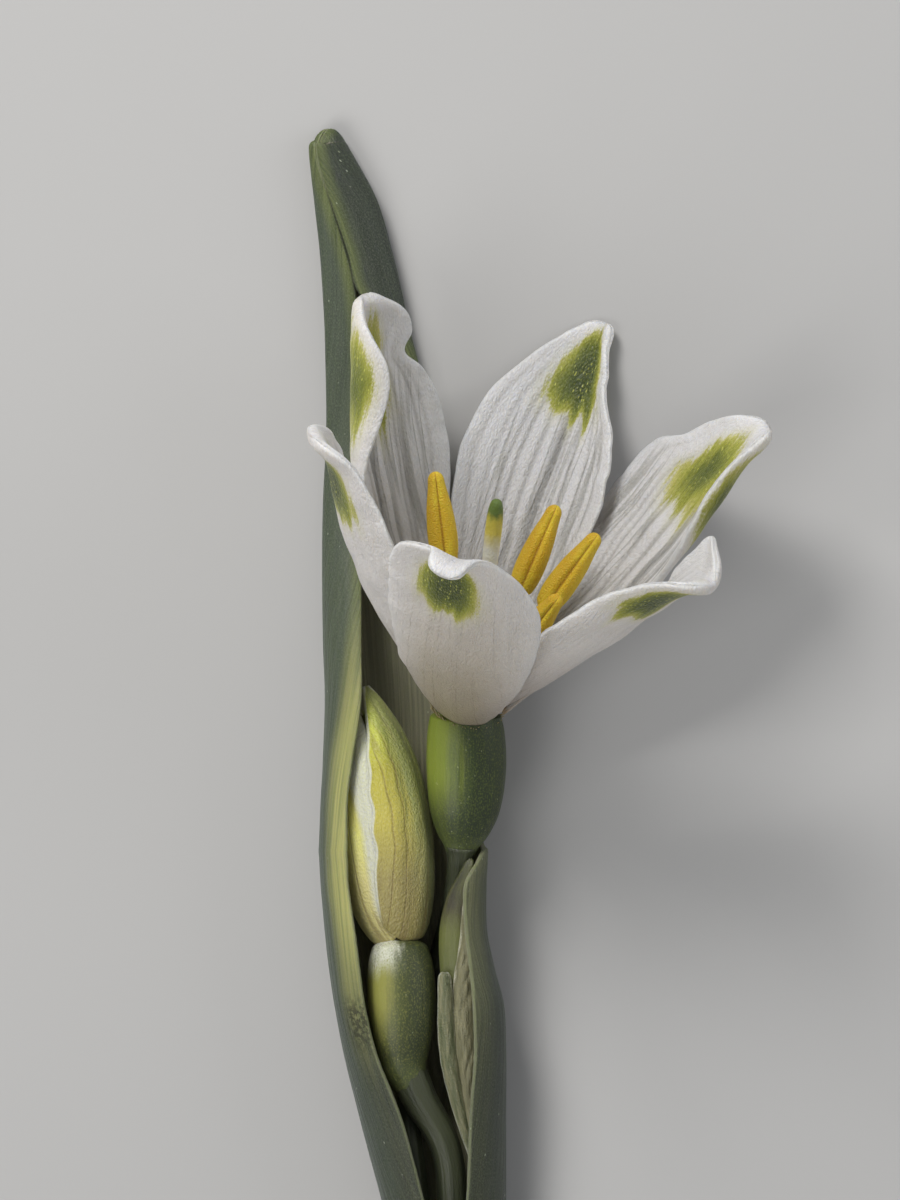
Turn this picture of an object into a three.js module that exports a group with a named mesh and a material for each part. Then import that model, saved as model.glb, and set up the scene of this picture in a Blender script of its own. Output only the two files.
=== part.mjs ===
// A picked flowering sprig of a snowflake, the bulb flower that is often called a snowdrop.
// It lies on its back: one open flower, a closed bud and a young bud come out of one green
// sheath at the top of a cut stem. Millimetres and degrees.
//
// x runs across the sprig, y along it from the cut end to the sheath's tip, z up from the surface.
// All places below are measured from a point under the flower's foot, where the petals meet the
// ovary; at the end the whole sprig is moved, so that the middle of its outline is the origin.
import * as THREE from 'three';

// ---- Driving dimensions --------------------------------------------------------------------
const bladeThickness = 0.6;          // petals, sheath and bracts
const touchGap = 0.3;                // left between pieces that touch
const flowerFoot = new THREE.Vector3(0, 0.4, 4.8);
const flowerLean = 14;               // of the flower's axis to the right of the stem
const flowerTilt = 30;               // of the same axis up from the surface
const petalFullLength = 20;          // along the curve of a petal of average size
const innerRingRadius = 0.72;        // where the three inner petals start
const outerRingRadius = 1.62;        // where the three outer petals start
const innerRingHeight = 0.25;        // above the flower's foot
const stamenLength = 10.8;
const antherLength = 4.9;
const antherHalfWidth = 0.72;
const styleLength = 11.4;
const stemHalfWidth = 3.0;
const stemHalfDepth = 2.3;
const stemTopY = -26;
const stemCutY = -41;

const petalRows = 18;
const petalColumns = 10;             // even, so that one line of points is the midrib

// ---- Small mathematics ---------------------------------------------------------------------
const vector = (x, y, z) => new THREE.Vector3(x, y, z);
const radians = THREE.MathUtils.degToRad;

// A smooth curve through knots [place, value, ...]; gives the values at one place.
function through(knots, place) {
  const count = knots.length;
  const at = THREE.MathUtils.clamp(place, knots[0][0], knots[count - 1][0]);
  let k = 0;
  while (k < count - 2 && at > knots[k + 1][0]) k += 1;
  const slope = (i, v) => {
    const before = knots[Math.max(i - 1, 0)];
    const after = knots[Math.min(i + 1, count - 1)];
    return (after[v] - before[v]) / (after[0] - before[0]);
  };
  const span = knots[k + 1][0] - knots[k][0];
  const u = (at - knots[k][0]) / span;
  const values = [];
  for (let v = 1; v < knots[k].length; v += 1) {
    values.push(
      (2 * u ** 3 - 3 * u ** 2 + 1) * knots[k][v] + (u ** 3 - 2 * u ** 2 + u) * span * slope(k, v)
      + (3 * u ** 2 - 2 * u ** 3) * knots[k + 1][v] + (u ** 3 - u ** 2) * span * slope(k + 1, v));
  }
  return values;
}

// ---- Two ways of making a closed solid -----------------------------------------------------

function geometry(points, faces) {
  const shape = new THREE.BufferGeometry();
  const numbers = points.flatMap((p) => p.toArray());
  shape.setAttribute('position', new THREE.Float32BufferAttribute(numbers, 3));
  shape.setIndex(faces.flat());
  shape.computeVertexNormals();
  return shape;
}

// A thin sheet: rows of points on its middle surface, thickened to both sides.
function sheet(grid, thickness) {
  const rows = grid.length;
  const columns = grid[0].length;
  const near = [];
  const far = [];
  for (let i = 0; i < rows; i += 1) {
    for (let j = 0; j < columns; j += 1) {
      const along = grid[Math.min(i + 1, rows - 1)][j].clone().sub(grid[Math.max(i - 1, 0)][j]);
      const across = grid[i][Math.min(j + 1, columns - 1)].clone().sub(grid[i][Math.max(j - 1, 0)]);
      const half = along.cross(across).normalize().multiplyScalar(thickness / 2);
      near.push(grid[i][j].clone().add(half));
      far.push(grid[i][j].clone().sub(half));
    }
  }
  const other = near.length;
  const index = (i, j) => i * columns + j;
  const faces = [];
  for (let i = 0; i < rows - 1; i += 1) {
    for (let j = 0; j < columns - 1; j += 1) {
      const [a, b, c, d] = [index(i, j), index(i + 1, j), index(i + 1, j + 1), index(i, j + 1)];
      faces.push([a, b, c], [a, c, d]);
      faces.push([a + other, c + other, b + other], [a + other, d + other, c + other]);
    }
  }
  const rim = [];
  for (let i = 0; i < rows - 1; i += 1) rim.push(index(i, 0));
  for (let j = 0; j < columns - 1; j += 1) rim.push(index(rows - 1, j));
  for (let i = rows - 1; i > 0; i -= 1) rim.push(index(i, columns - 1));
  for (let j = columns - 1; j > 0; j -= 1) rim.push(index(0, j));
  rim.forEach((p, n) => {
    const q = rim[(n + 1) % rim.length];
    faces.push([q, p, p + other], [q, p + other, q + other]);
  });
  return geometry([...near, ...far], faces);
}

// A round or oval body along a curve: path points, and knots [place, half width, half depth].
function body(pathPoints, halfSizes, sides, steps) {
  const path = new THREE.CatmullRomCurve3(pathPoints);
  const points = [];
  for (let i = 0; i <= steps; i += 1) {
    const centre = path.getPointAt(i / steps);
    const ahead = path.getTangentAt(i / steps);
    const wide = ahead.clone().cross(vector(0, 0, 1)).normalize();
    const deep = ahead.clone().cross(wide);
    const [halfWidth, halfDepth] = through(halfSizes, i / steps);
    for (let j = 0; j < sides; j += 1) {
      const angle = (2 * Math.PI * j) / sides;
      points.push(centre.clone()
        .addScaledVector(wide, halfWidth * Math.cos(angle))
        .addScaledVector(deep, halfDepth * Math.sin(angle)));
    }
  }
  const first = points.push(path.getPointAt(0)) - 1;
  const last = points.push(path.getPointAt(1)) - 1;
  const faces = [];
  for (let j = 0; j < sides; j += 1) {
    const next = (j + 1) % sides;
    for (let i = 0; i < steps; i += 1) {
      const [a, b] = [i * sides + j, i * sides + next];
      faces.push([a, b, b + sides], [a, b + sides, a + sides]);
    }
    faces.push([first, next, j]);
    faces.push([last, steps * sides + j, steps * sides + next]);
  }
  return geometry(points, faces);
}

// ---- The sprig and its finishes ------------------------------------------------------------
const sprig = new THREE.Group();
const finish = (color, roughness) => new THREE.MeshStandardMaterial({ color, roughness, metalness: 0 });
const petalWhite = finish('#e6e4e0', 0.5);
const sheathGreen = finish('#5d6b4c', 0.5);
const ovaryGreen = finish('#5c7426', 0.35);
const stalkGreen = finish('#66763f', 0.45);
const budYellow = finish('#b9b25c', 0.45);
const antherYellow = finish('#dcae1c', 0.55);
const bractBrown = finish('#8c8a5e', 0.6);

function add(name, shape, material) {
  const mesh = new THREE.Mesh(shape, material.clone());
  mesh.name = name;
  sprig.add(mesh);
}

// ---- Stem: flattened oval, cut square below, its top end just under the sheath --------------
add('stem', body(
  [vector(-1.15, stemCutY, stemHalfDepth), vector(-1.05, -33, stemHalfDepth),
    vector(-0.97, stemTopY, 2.45)],
  [[0, stemHalfWidth, stemHalfDepth], [0.6, 2.9, 2.25], [1, 2.75, 2.15]], 16, 6), sheathGreen);

// ---- Sheath: one long blade folded round the stalks, its keel on the surface ----------------
// Each row: y, keel x, half width of the left and the right wing, half depth, and how far the left
// and the right wing wrap round, in degrees from the keel (180 is the front).
const sheathRows = [
  [28.1, -7.04, 0.42, 0.42, 0.44, 140, 188],
  [27.45, -6.79, 0.78, 0.78, 0.46, 130, 212],
  [25.00, -6.05, 1.22, 1.44, 0.46, 146, 198],
  [22.54, -5.56, 1.44, 1.68, 0.46, 163, 185],
  [20.58, -5.26, 1.60, 1.86, 0.46, 172, 176],
  [18.13, -4.94, 1.80, 2.08, 0.48, 172, 130],
  [13.73, -4.29, 2.39, 2.60, 0.60, 160, 92],
  [10.31, -4.09, 2.73, 3.00, 1.00, 158, 78],
  [7.37, -3.87, 2.99, 3.40, 1.50, 155, 66],
  [3.48, -3.53, 3.28, 3.80, 2.25, 151, 55],
  [0.56, -3.33, 3.38, 4.00, 2.70, 148, 52],
  [-2.37, -3.21, 3.59, 4.20, 2.95, 139, 54],
  [-4.31, -3.18, 3.72, 4.25, 3.05, 135, 62],
  [-6.75, -3.16, 3.84, 4.00, 3.10, 136, 79],
  [-8.45, -3.11, 3.79, 3.85, 3.10, 136, 97],
  [-10.64, -2.97, 3.74, 3.74, 3.10, 139, 118],
  [-12.50, -2.68, 3.82, 3.82, 3.08, 139, 130.5],
  [-14.34, -2.31, 3.91, 3.91, 3.05, 138, 138],
  [-16.63, -2.04, 3.74, 3.74, 2.95, 142, 140],
  [-19.41, -1.70, 3.40, 3.40, 2.80, 153, 147],
  [-21.85, -1.38, 3.08, 3.08, 2.65, 158, 152],
  [-23.80, -1.12, 2.82, 2.82, 2.50, 161, 158],
  [stemTopY + touchGap, -0.97, 2.67, 2.67, 2.30, 166, 166],
];
const sheathLengthSteps = 44;
const sheathWrapSteps = 8;            // to each side of the keel

function sheathGrid() {
  const knots = sheathRows.map((row, n) => [n, ...row]);
  const grid = [];
  for (let i = 0; i <= sheathLengthSteps; i += 1) {
    const place = ((sheathRows.length - 1) * i) / sheathLengthSteps;
    const [y, keelX, leftHalf, rightHalf, halfDepth, left, right] = through(knots, place);
    const row = [];
    for (let j = -sheathWrapSteps; j <= sheathWrapSteps; j += 1) {
      const wrap = radians(((j < 0 ? left : right) * j) / sheathWrapSteps);
      row.push(vector(
        keelX + (j < 0 ? leftHalf : rightHalf) * Math.sin(wrap),
        y,
        bladeThickness / 2 + halfDepth * (1 - Math.cos(wrap))));
    }
    grid.push(row);
  }
  return grid;
}
add('sheath', sheet(sheathGrid(), bladeThickness), sheathGreen);

// ---- Open flower: its own axis, and the directions round it ---------------------------------
const lean = radians(flowerLean);
const tilt = radians(flowerTilt);
const flowerAxis = vector(
  Math.sin(lean) * Math.cos(tilt), Math.cos(lean) * Math.cos(tilt), Math.sin(tilt));
const flowerBack = vector(
  Math.sin(lean) * Math.sin(tilt), Math.cos(lean) * Math.sin(tilt), -Math.cos(tilt));
const flowerRight = vector(Math.cos(lean), -Math.sin(lean), 0);

// Outward and sideways directions at an angle round the axis, 0 at the back, 90 to the right.
function roundAxis(azimuth) {
  const angle = radians(azimuth);
  const outward = flowerBack.clone().multiplyScalar(Math.cos(angle))
    .addScaledVector(flowerRight, Math.sin(angle));
  const sideways = flowerBack.clone().multiplyScalar(-Math.sin(angle))
    .addScaledVector(flowerRight, Math.cos(angle));
  return { outward, sideways };
}

// Half width along a petal of average size, and places along it for the lists of five values.
const averageHalfWidth = [
  [0, 0.85], [0.12, 1.6], [0.3, 2.75], [0.55, 3.85], [0.72, 3.75], [0.86, 2.55], [0.94, 1.5],
  [0.985, 0.8], [1, 0.35]];
const fivePlaces = [0, 0.3, 0.6, 0.85, 1];
const edgeRollStart = 0.7;           // of the half width: outside this the edge may roll in
const foldSteps = 30;                // small steps from the rib to an edge, as the cup turns

// A petal's middle surface. `spread` is the rib's angle from the flower's axis along the petal.
// The cross-section turns inward towards its edges by `cup` degrees, and by `roll` more at the edge.
function petalGrid(petal) {
  const { outward, sideways } = roundAxis(petal.azimuth);
  const five = (values) => fivePlaces.map((place, n) => [place, values[n]]);
  const zero = [0, 0, 0, 0, 0];
  const step = petal.length / petalRows;
  const ribPoint = flowerFoot.clone()
    .addScaledVector(outward, petal.inner ? innerRingRadius : outerRingRadius)
    .addScaledVector(flowerAxis, petal.inner ? innerRingHeight : 0);
  const direction = (place) => {
    const spread = radians(through(petal.spread, place)[0]);
    const sway = radians(through(five(petal.sway ?? zero), place)[0]);
    return outward.clone().multiplyScalar(Math.cos(sway) * Math.sin(spread))
      .addScaledVector(flowerAxis, Math.cos(sway) * Math.cos(spread))
      .addScaledVector(sideways, Math.sin(sway));
  };
  const grid = [];
  for (let i = 0; i <= petalRows; i += 1) {
    const place = i / petalRows;
    const ahead = direction(place);
    if (i > 0) {
      ribPoint.addScaledVector(ahead.clone().add(direction(place - 1 / petalRows)).normalize(), step);
    }
    const level = sideways.clone().addScaledVector(ahead, -sideways.dot(ahead)).normalize();
    const twist = radians(through(five(petal.twist ?? zero), place)[0]);
    const flatSide = level.clone().multiplyScalar(Math.cos(twist))
      .addScaledVector(level.clone().cross(ahead), Math.sin(twist));
    const inward = flatSide.clone().cross(ahead);
    const row = [ribPoint.clone()];
    for (const [edge, sign] of [[petal.right, 1], [petal.left, -1]]) {
      const halfWidth = through(edge.halfWidth ?? averageHalfWidth, place)[0] * (edge.scale ?? 1);
      const cup = through(five(edge.cup), place)[0];
      const roll = through(five(edge.roll ?? zero), place)[0];
      const point = ribPoint.clone();
      for (let n = 0; n < foldSteps; n += 1) {
        const out = (n + 0.5) / foldSteps;
        const rolled = roll * THREE.MathUtils.smoothstep(out, edgeRollStart, 1);
        const turn = radians(cup * out + rolled);
        point.addScaledVector(flatSide, (sign * Math.cos(turn) * halfWidth) / foldSteps);
        point.addScaledVector(inward, (Math.sin(turn) * halfWidth) / foldSteps);
        if ((n + 1) % (foldSteps / (petalColumns / 2)) === 0) {
          if (sign > 0) row.push(point.clone());
          else row.unshift(point.clone());
        }
      }
    }
    grid.push(row);
  }
  return grid;
}

const petals = [
  {
    name: 'petal_inner_back', azimuth: 6, inner: true, length: petalFullLength - 0.4,
    spread: [[0, 44], [0.2, 48], [0.5, 42], [0.8, 38], [1, 36]],
    sway: [0, 0, 3, 5, 2],
    twist: [0, 0, 4, 6, 8],
    left: {
      cup: [42, 34, 26, 20, 40],
      halfWidth: [
        [0, 0.9], [0.12, 1.75], [0.3, 3.15], [0.55, 4.4], [0.72, 4.2], [0.86, 2.85], [0.94, 1.7],
        [0.985, 0.9], [1, 0.45]],
    },
    right: {
      cup: [42, 42, 52, 60, 60],
      halfWidth: [
        [0, 0.7], [0.12, 1.3], [0.3, 2.25], [0.55, 3.1], [0.72, 2.75], [0.86, 1.6], [0.94, 0.85],
        [0.985, 0.45], [1, 0.25]],
    },
  },
  {
    name: 'petal_outer_right', azimuth: 63, inner: false, length: petalFullLength - 0.8,
    spread: [[0, 44], [0.2, 43], [0.5, 31], [0.8, 23], [1, 33]],
    sway: [0, 0, 0, 2, 6],
    left: {
      cup: [32, 19, 10, 14, 36],
      halfWidth: [
        [0, 0.85], [0.12, 1.6], [0.3, 3.3], [0.5, 5.1], [0.66, 5.3], [0.75, 4.4], [0.81, 3.2],
        [0.88, 2.75], [0.95, 1.75], [0.985, 1.0], [1, 0.5]],
    },
    right: {
      cup: [34, 44, 54, 58, 54],
      roll: [0, 0, 30, 60, 60],
      halfWidth: [
        [0, 0.7], [0.12, 0.95], [0.3, 1.6], [0.45, 2.3], [0.6, 2.9], [0.72, 2.95], [0.86, 2.3],
        [0.94, 1.6], [0.985, 1.0], [1, 0.5]],
    },
  },
  {
    name: 'petal_inner_right', azimuth: 128, inner: true, length: petalFullLength - 1.2,
    spread: [[0, 42], [0.2, 39], [0.5, 34], [0.8, 32], [0.9, 44], [1, 72]],
    sway: [0, -1, -2, -4, -6],
    left: { cup: [42, 36, 32, 30, 30] },
    right: { cup: [42, 36, 34, 34, 34] },
  },
  {
    name: 'petal_outer_front', azimuth: 189, inner: false, length: petalFullLength - 0.8,
    spread: [[0, 50], [0.2, 44], [0.5, 30], [0.8, 22], [0.92, 36], [1, 72]],
    left: { scale: 1.02, cup: [34, 34, 34, 34, 20] },
    right: { scale: 1.02, cup: [34, 34, 34, 34, 20] },
  },
  {
    name: 'petal_inner_left', azimuth: 248, inner: true, length: petalFullLength - 1.7,
    spread: [[0, 46], [0.2, 42], [0.5, 32], [0.8, 22], [0.9, 32], [1, 72]],
    left: { cup: [42, 36, 34, 34, 20] },
    right: { cup: [42, 36, 34, 34, 20] },
  },
  {
    name: 'petal_outer_left', azimuth: 307, inner: false, length: petalFullLength,
    spread: [[0, 48], [0.2, 43], [0.5, 32], [0.8, 17], [1, 14]],
    left: {
      cup: [34, 32, 46, 60, 60],
      roll: [0, 0, 40, 70, 70],
      halfWidth: [
        [0, 0.85], [0.12, 1.6], [0.3, 2.75], [0.55, 3.85], [0.72, 3.75], [0.86, 2.9], [0.94, 2.1],
        [0.985, 1.2], [1, 0.5]],
    },
    right: {
      cup: [34, 24, 18, 18, 20],
      halfWidth: [
        [0, 0.85], [0.12, 1.7], [0.3, 2.9], [0.55, 4.05], [0.7, 3.7], [0.78, 2.9], [0.83, 1.95],
        [0.88, 2.2], [0.94, 1.85], [0.985, 0.9], [1, 0.4]],
    },
  },
];
petals.forEach((petal) => add(petal.name, sheet(petalGrid(petal), bladeThickness), petalWhite));

// ---- Stamens and style: thin filaments round the style, each with a long blunt anther --------
const filamentFootRadius = 0.14;
const filamentTopRadius = 0.11;
const filamentStart = 0.9;           // above the flower's foot, where the petals make room
const filamentRing = 0.72;           // radius of the circle that they stand on there
const antherHalfSizes = [
  [0, 0.3, 0.26], [0.08, 0.58, 0.5], [0.3, antherHalfWidth, 0.6], [0.6, 0.64, 0.54],
  [0.9, 0.38, 0.32], [1, 0.15, 0.14]];
// Azimuth, angle from the axis, and length against the average, as they stand in the flower.
const stamens = [
  { azimuth: 28, spread: 22, size: 0.99 },
  { azimuth: 70, spread: 21.5, size: 1.02 },
  { azimuth: 128, spread: 22, size: 0.97 },
  { azimuth: 188, spread: 21, size: 0.98 },
  { azimuth: 248, spread: 22, size: 0.97 },
  { azimuth: 303, spread: 25.5, size: 1.1 },
];
stamens.forEach((stamen, n) => {
  const { outward } = roundAxis(stamen.azimuth);
  const reach = stamenLength * stamen.size;
  const place = (along, radius) => flowerFoot.clone()
    .addScaledVector(flowerAxis, along)
    .addScaledVector(outward, radius);
  const foot = place(filamentStart, filamentRing);
  const lying = radians(stamen.spread);
  const tip = place(reach * Math.cos(lying), reach * Math.sin(lying));
  const ahead = tip.clone().sub(foot).normalize();
  const antherFoot = tip.clone().addScaledVector(ahead, -antherLength);
  add(`filament_${n + 1}`, body(
    [foot, antherFoot.clone().addScaledVector(ahead, -touchGap)],
    [[0, filamentFootRadius, filamentFootRadius], [1, filamentTopRadius, filamentTopRadius]],
    6, 2), petalWhite);
  add(`anther_${n + 1}`, body([antherFoot, tip], antherHalfSizes, 8, 7), antherYellow);
});

const styleBend = -1;                // of the style's tip, against the flower's right
const styleTip = flowerFoot.clone()
  .addScaledVector(flowerAxis, styleLength)
  .addScaledVector(flowerRight, styleBend);
add('style', body(
  [flowerFoot.clone().addScaledVector(flowerAxis, touchGap), styleTip],
  [[0, 0.2, 0.2], [0.4, 0.3, 0.3], [0.8, 0.4, 0.4], [0.95, 0.36, 0.36], [1, 0.2, 0.2]],
  8, 8), petalWhite);

// ---- Ovary and stalk of the open flower ------------------------------------------------------
const ovaryTop = flowerFoot.clone().addScaledVector(flowerAxis, -1.7 * touchGap);
add('flower_ovary', body(
  [vector(-0.29, -6.73, 3.95), vector(-0.09, -3.4, 4.05), ovaryTop],
  [[0, 0.7, 0.7], [0.08, 1.25, 1.2], [0.25, 1.75, 1.7], [0.6, 1.9, 1.85], [0.85, 1.82, 1.8],
    [1, 1.7, 1.7]],
  14, 10), ovaryGreen);
add('flower_stalk', body(
  [vector(-0.32, -7.05, 3.85), vector(-0.5, -8.6, 2.95), vector(-0.92, -10.69, 1.95),
    vector(-1.7, -13.4, 1.5), vector(-2.44, -16.1, 1.4), vector(-2.83, -19.02, 1.6),
    vector(-2.6, -21.91, 2.0), vector(-2.1, -25.7, 2.3)],
  [[0, 0.55, 0.55], [1, 0.55, 0.55]], 8, 14), stalkGreen);

// ---- Closed bud: three outer petals round the rolled inner ones, its ovary and stalk ---------
const budAxis = new THREE.CatmullRomCurve3([
  vector(-3.35, -11.16, 3.25), vector(-3.74, -9.16, 3.15), vector(-4.23, -5.27, 3.15),
  vector(-4.52, -3.09, 3.15), vector(-4.76, -1.14, 3.2), vector(-4.96, 0.32, 3.3),
  vector(-5.1, 1.14, 3.35)]);
// Place along the bud and the radius of its outside.
const budRadius = [
  [0, 1.4], [0.16, 2.0], [0.35, 2.2], [0.5, 2.15], [0.68, 1.85], [0.82, 1.35], [0.93, 0.8], [1, 0.45]];
const budPetalPoint = 0.75;          // how much of its width a petal of the bud loses at its tip
const budPetalRows = 12;
const budPetalColumns = 8;

// One outer petal of the bud: its middle angle (0 at the back, 90 to the right), how far it wraps,
// and where it ends along the bud.
function budPetalGrid(middle, wrap, end) {
  const grid = [];
  for (let i = 0; i <= budPetalRows; i += 1) {
    const place = (end * i) / budPetalRows;
    const centre = budAxis.getPointAt(place);
    const ahead = budAxis.getTangentAt(place);
    const wide = ahead.clone().cross(vector(0, 0, 1)).normalize();
    const up = wide.clone().cross(ahead);
    const radius = through(budRadius, place)[0] - bladeThickness / 2;
    const narrowing = Math.sqrt(1 - budPetalPoint * (i / budPetalRows) ** 6);
    const row = [];
    for (let j = 0; j <= budPetalColumns; j += 1) {
      const angle = radians(middle + wrap * narrowing * (j / budPetalColumns - 0.5));
      row.push(centre.clone()
        .addScaledVector(wide, radius * Math.sin(angle))
        .addScaledVector(up, -radius * Math.cos(angle)));
    }
    grid.push(row);
  }
  return grid;
}
add('bud_petal_right', sheet(budPetalGrid(119, 108, 1), bladeThickness), budYellow);
add('bud_petal_left', sheet(budPetalGrid(239, 108, 0.9), bladeThickness), budYellow);
add('bud_petal_back', sheet(budPetalGrid(4, 98, 0.9), bladeThickness), budYellow);
add('bud_inner_petals', body(
  [0.03, 0.3, 0.6, 0.84].map((place) => budAxis.getPointAt(place)),
  [[0, 0.5, 0.5], [0.15, 1.15, 1.15], [0.4, 1.35, 1.35], [0.7, 1.1, 1.1], [1, 0.3, 0.3]],
  10, 8), petalWhite);
add('bud_ovary', body(
  [vector(-3.26, -11.5, 3.6), vector(-3.2, -14.0, 3.7), vector(-3.05, -17.0, 3.7)],
  [[0, 1.2, 1.2], [0.12, 1.5, 1.5], [0.4, 1.6, 1.6], [0.75, 1.5, 1.5], [0.93, 1.2, 1.2], [1, 1.0, 1.0]],
  12, 8), ovaryGreen);
add('bud_stalk', body(
  [vector(-3.0, -17.4, 3.7), vector(-2.3, -18.8, 3.65), vector(-1.26, -20.6, 3.5),
    vector(-0.87, -21.9, 3.3), vector(-0.73, -23.8, 3.05), vector(-0.7, -25.7, 2.9)],
  [[0, 0.95, 0.95], [0.18, 0.8, 0.8], [0.4, 0.7, 0.7], [1, 0.68, 0.68]], 8, 10), stalkGreen);

// ---- Young bud: still small, with a papery bract on its right and a small one in front --------
add('young_bud', body(
  [vector(-0.72, -8.75, 4.1), vector(-0.6, -9.6, 4.1), vector(-0.52, -11.6, 3.95),
    vector(-0.4, -14.2, 3.85), vector(-0.1, -16.6, 3.75)],
  [[0, 0.2, 0.2], [0.1, 0.55, 0.5], [0.3, 0.75, 0.7], [0.6, 0.72, 0.7], [0.85, 0.6, 0.6],
    [1, 0.5, 0.5]],
  10, 9), ovaryGreen);
add('young_bud_stalk', body(
  [vector(0.0, -16.92, 3.9), vector(0.35, -19, 3.6), vector(0.62, -21.5, 3.1),
    vector(0.8, -23.8, 2.6), vector(0.82, -25.7, 2.35)],
  [[0, 0.5, 0.5], [1, 0.55, 0.55]], 8, 8), stalkGreen);

const bractArch = 0.35;              // how far its edges lie back, of its half width

// A bract's middle surface: rows [y, x, z, half width], slightly arched towards the front.
function bractGrid(rows, steps, columns) {
  const knots = rows.map((row, n) => [n, ...row]);
  const grid = [];
  for (let i = 0; i <= steps; i += 1) {
    const [y, x, z, halfWidth] = through(knots, ((rows.length - 1) * i) / steps);
    const row = [];
    for (let j = 0; j <= columns; j += 1) {
      const out = (2 * j) / columns - 1;
      row.push(vector(x + halfWidth * out, y, z - bractArch * halfWidth * out * out));
    }
    grid.push(row);
  }
  return grid;
}
const youngBudBractRows = [
  [-7.5, 0.2, 4.5, 0.12], [-9.2, -0.12, 4.9, 0.22], [-11.5, -0.42, 5.05, 0.26],
  [-14.2, -0.38, 4.98, 0.26], [-16.6, -0.22, 4.8, 0.26], [-18.4, -0.1, 4.45, 0.16],
];
const smallBractRows = [
  [-12.65, -1.1, 4.95, 0.14], [-13.4, -1.1, 5.0, 0.18], [-15.2, -1.04, 4.95, 0.18],
  [-16.9, -0.92, 4.8, 0.16], [-18.0, -0.8, 4.6, 0.12],
];
add('young_bud_bract', sheet(bractGrid(youngBudBractRows, 10, 4), bladeThickness), bractBrown);
add('young_bud_small_bract', sheet(bractGrid(smallBractRows, 8, 2), bladeThickness), stalkGreen);

// ---- Set the middle of the sprig's outline on the surface over the origin ---------------------
const outline = new THREE.Box3().setFromObject(sprig);
const middle = outline.getCenter(vector(0, 0, 0));
sprig.position.set(-middle.x, -middle.y, -outline.min.z);

export default sprig;
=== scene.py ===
# A picked flowering sprig of a snowflake, the bulb flower often called a snowdrop, lying on its
# back: an open flower, a closed bud and a young bud that come out of one green sheath.
import math
import bpy
import numpy as np
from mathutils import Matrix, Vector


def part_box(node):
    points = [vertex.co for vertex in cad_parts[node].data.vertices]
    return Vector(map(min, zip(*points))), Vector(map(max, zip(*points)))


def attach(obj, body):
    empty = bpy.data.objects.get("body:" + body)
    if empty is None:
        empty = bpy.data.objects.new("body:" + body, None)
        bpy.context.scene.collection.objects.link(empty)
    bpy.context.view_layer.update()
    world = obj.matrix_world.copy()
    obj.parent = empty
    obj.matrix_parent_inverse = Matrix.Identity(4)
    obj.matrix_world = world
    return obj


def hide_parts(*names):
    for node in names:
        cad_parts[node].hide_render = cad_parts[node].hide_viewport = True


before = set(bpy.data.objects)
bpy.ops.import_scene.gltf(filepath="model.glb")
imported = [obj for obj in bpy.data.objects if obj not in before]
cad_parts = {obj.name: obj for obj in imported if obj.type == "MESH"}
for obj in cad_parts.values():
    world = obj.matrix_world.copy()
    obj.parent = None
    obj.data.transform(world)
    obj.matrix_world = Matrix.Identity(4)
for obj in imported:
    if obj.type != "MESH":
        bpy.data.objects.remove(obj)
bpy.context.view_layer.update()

# ---- The surface, the camera and the light ----------------------------------------------------
# The sprig lies on a plain pale surface under soft studio light from all round: one broad lamp past
# the petals' tips and one on the viewer's side, both to the left, and a weak one on the right.
MM = 0.001
STEM_CORNER = (-4.15, -41.0, 0.0)      # of the cut stem, measured from under the flower's foot
MEASURED_HEIGHT = 4.0                  # over the surface, where PHOTO_SCALE holds
PHOTO_SCALE = 20.6                     # photo pixels to a millimetre
PHOTO_HEIGHT = 1200
CAMERA_OVER = (-0.823, 5.424)          # what the middle of the photo shows
CAMERA_HEIGHT = 344.0
SENSOR = 36.0
NEAREST_SEEN, FARTHEST_SEEN = 0.01, 20.0

under_the_foot = np.array(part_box("stem")[0]) / MM - STEM_CORNER


def in_frame(points):
    """Points in millimetres from under the flower's foot, as metres in the frame."""
    return (np.asarray(points, float) + under_the_foot) * MM


camera = bpy.data.objects.new("camera", bpy.data.cameras.new("camera"))
bpy.context.scene.collection.objects.link(camera)
bpy.context.scene.camera = camera
camera.location = in_frame((*CAMERA_OVER, CAMERA_HEIGHT))
camera.data.sensor_fit = "VERTICAL"
camera.data.sensor_height = SENSOR
camera.data.lens = SENSOR * (CAMERA_HEIGHT - MEASURED_HEIGHT) / (PHOTO_HEIGHT / PHOTO_SCALE)
camera.data.clip_start = NEAREST_SEEN
camera.data.clip_end = FARTHEST_SEEN


def lamp(name, place, aim, width, height, power, colour):
    """A soft panel lamp; place and aim are in millimetres from under the flower's foot."""
    panel = bpy.data.lights.new(name, "AREA")
    panel.shape = "RECTANGLE"
    panel.size = width * MM
    panel.size_y = height * MM
    panel.energy = power
    panel.color = colour
    hung = bpy.data.objects.new(name, panel)
    bpy.context.scene.collection.objects.link(hung)
    hung.location = in_frame(place)
    direction = hung.location - type(hung.location)(in_frame(aim))
    hung.rotation_euler = direction.to_track_quat("Z", "Y").to_euler()


lamp("key_panel", (-110, 200, 200), (0, 0, 6), 100, 90, 0.60, (1.0, 0.985, 0.96))
lamp("front_panel", (-150, -120, 250), (0, 0, 6), 170, 170, 0.32, (1.0, 0.99, 0.97))
lamp("right_panel", (230, 60, 120), (0, -4, 4), 160, 160, 0.10, (0.95, 0.97, 1.0))

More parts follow.
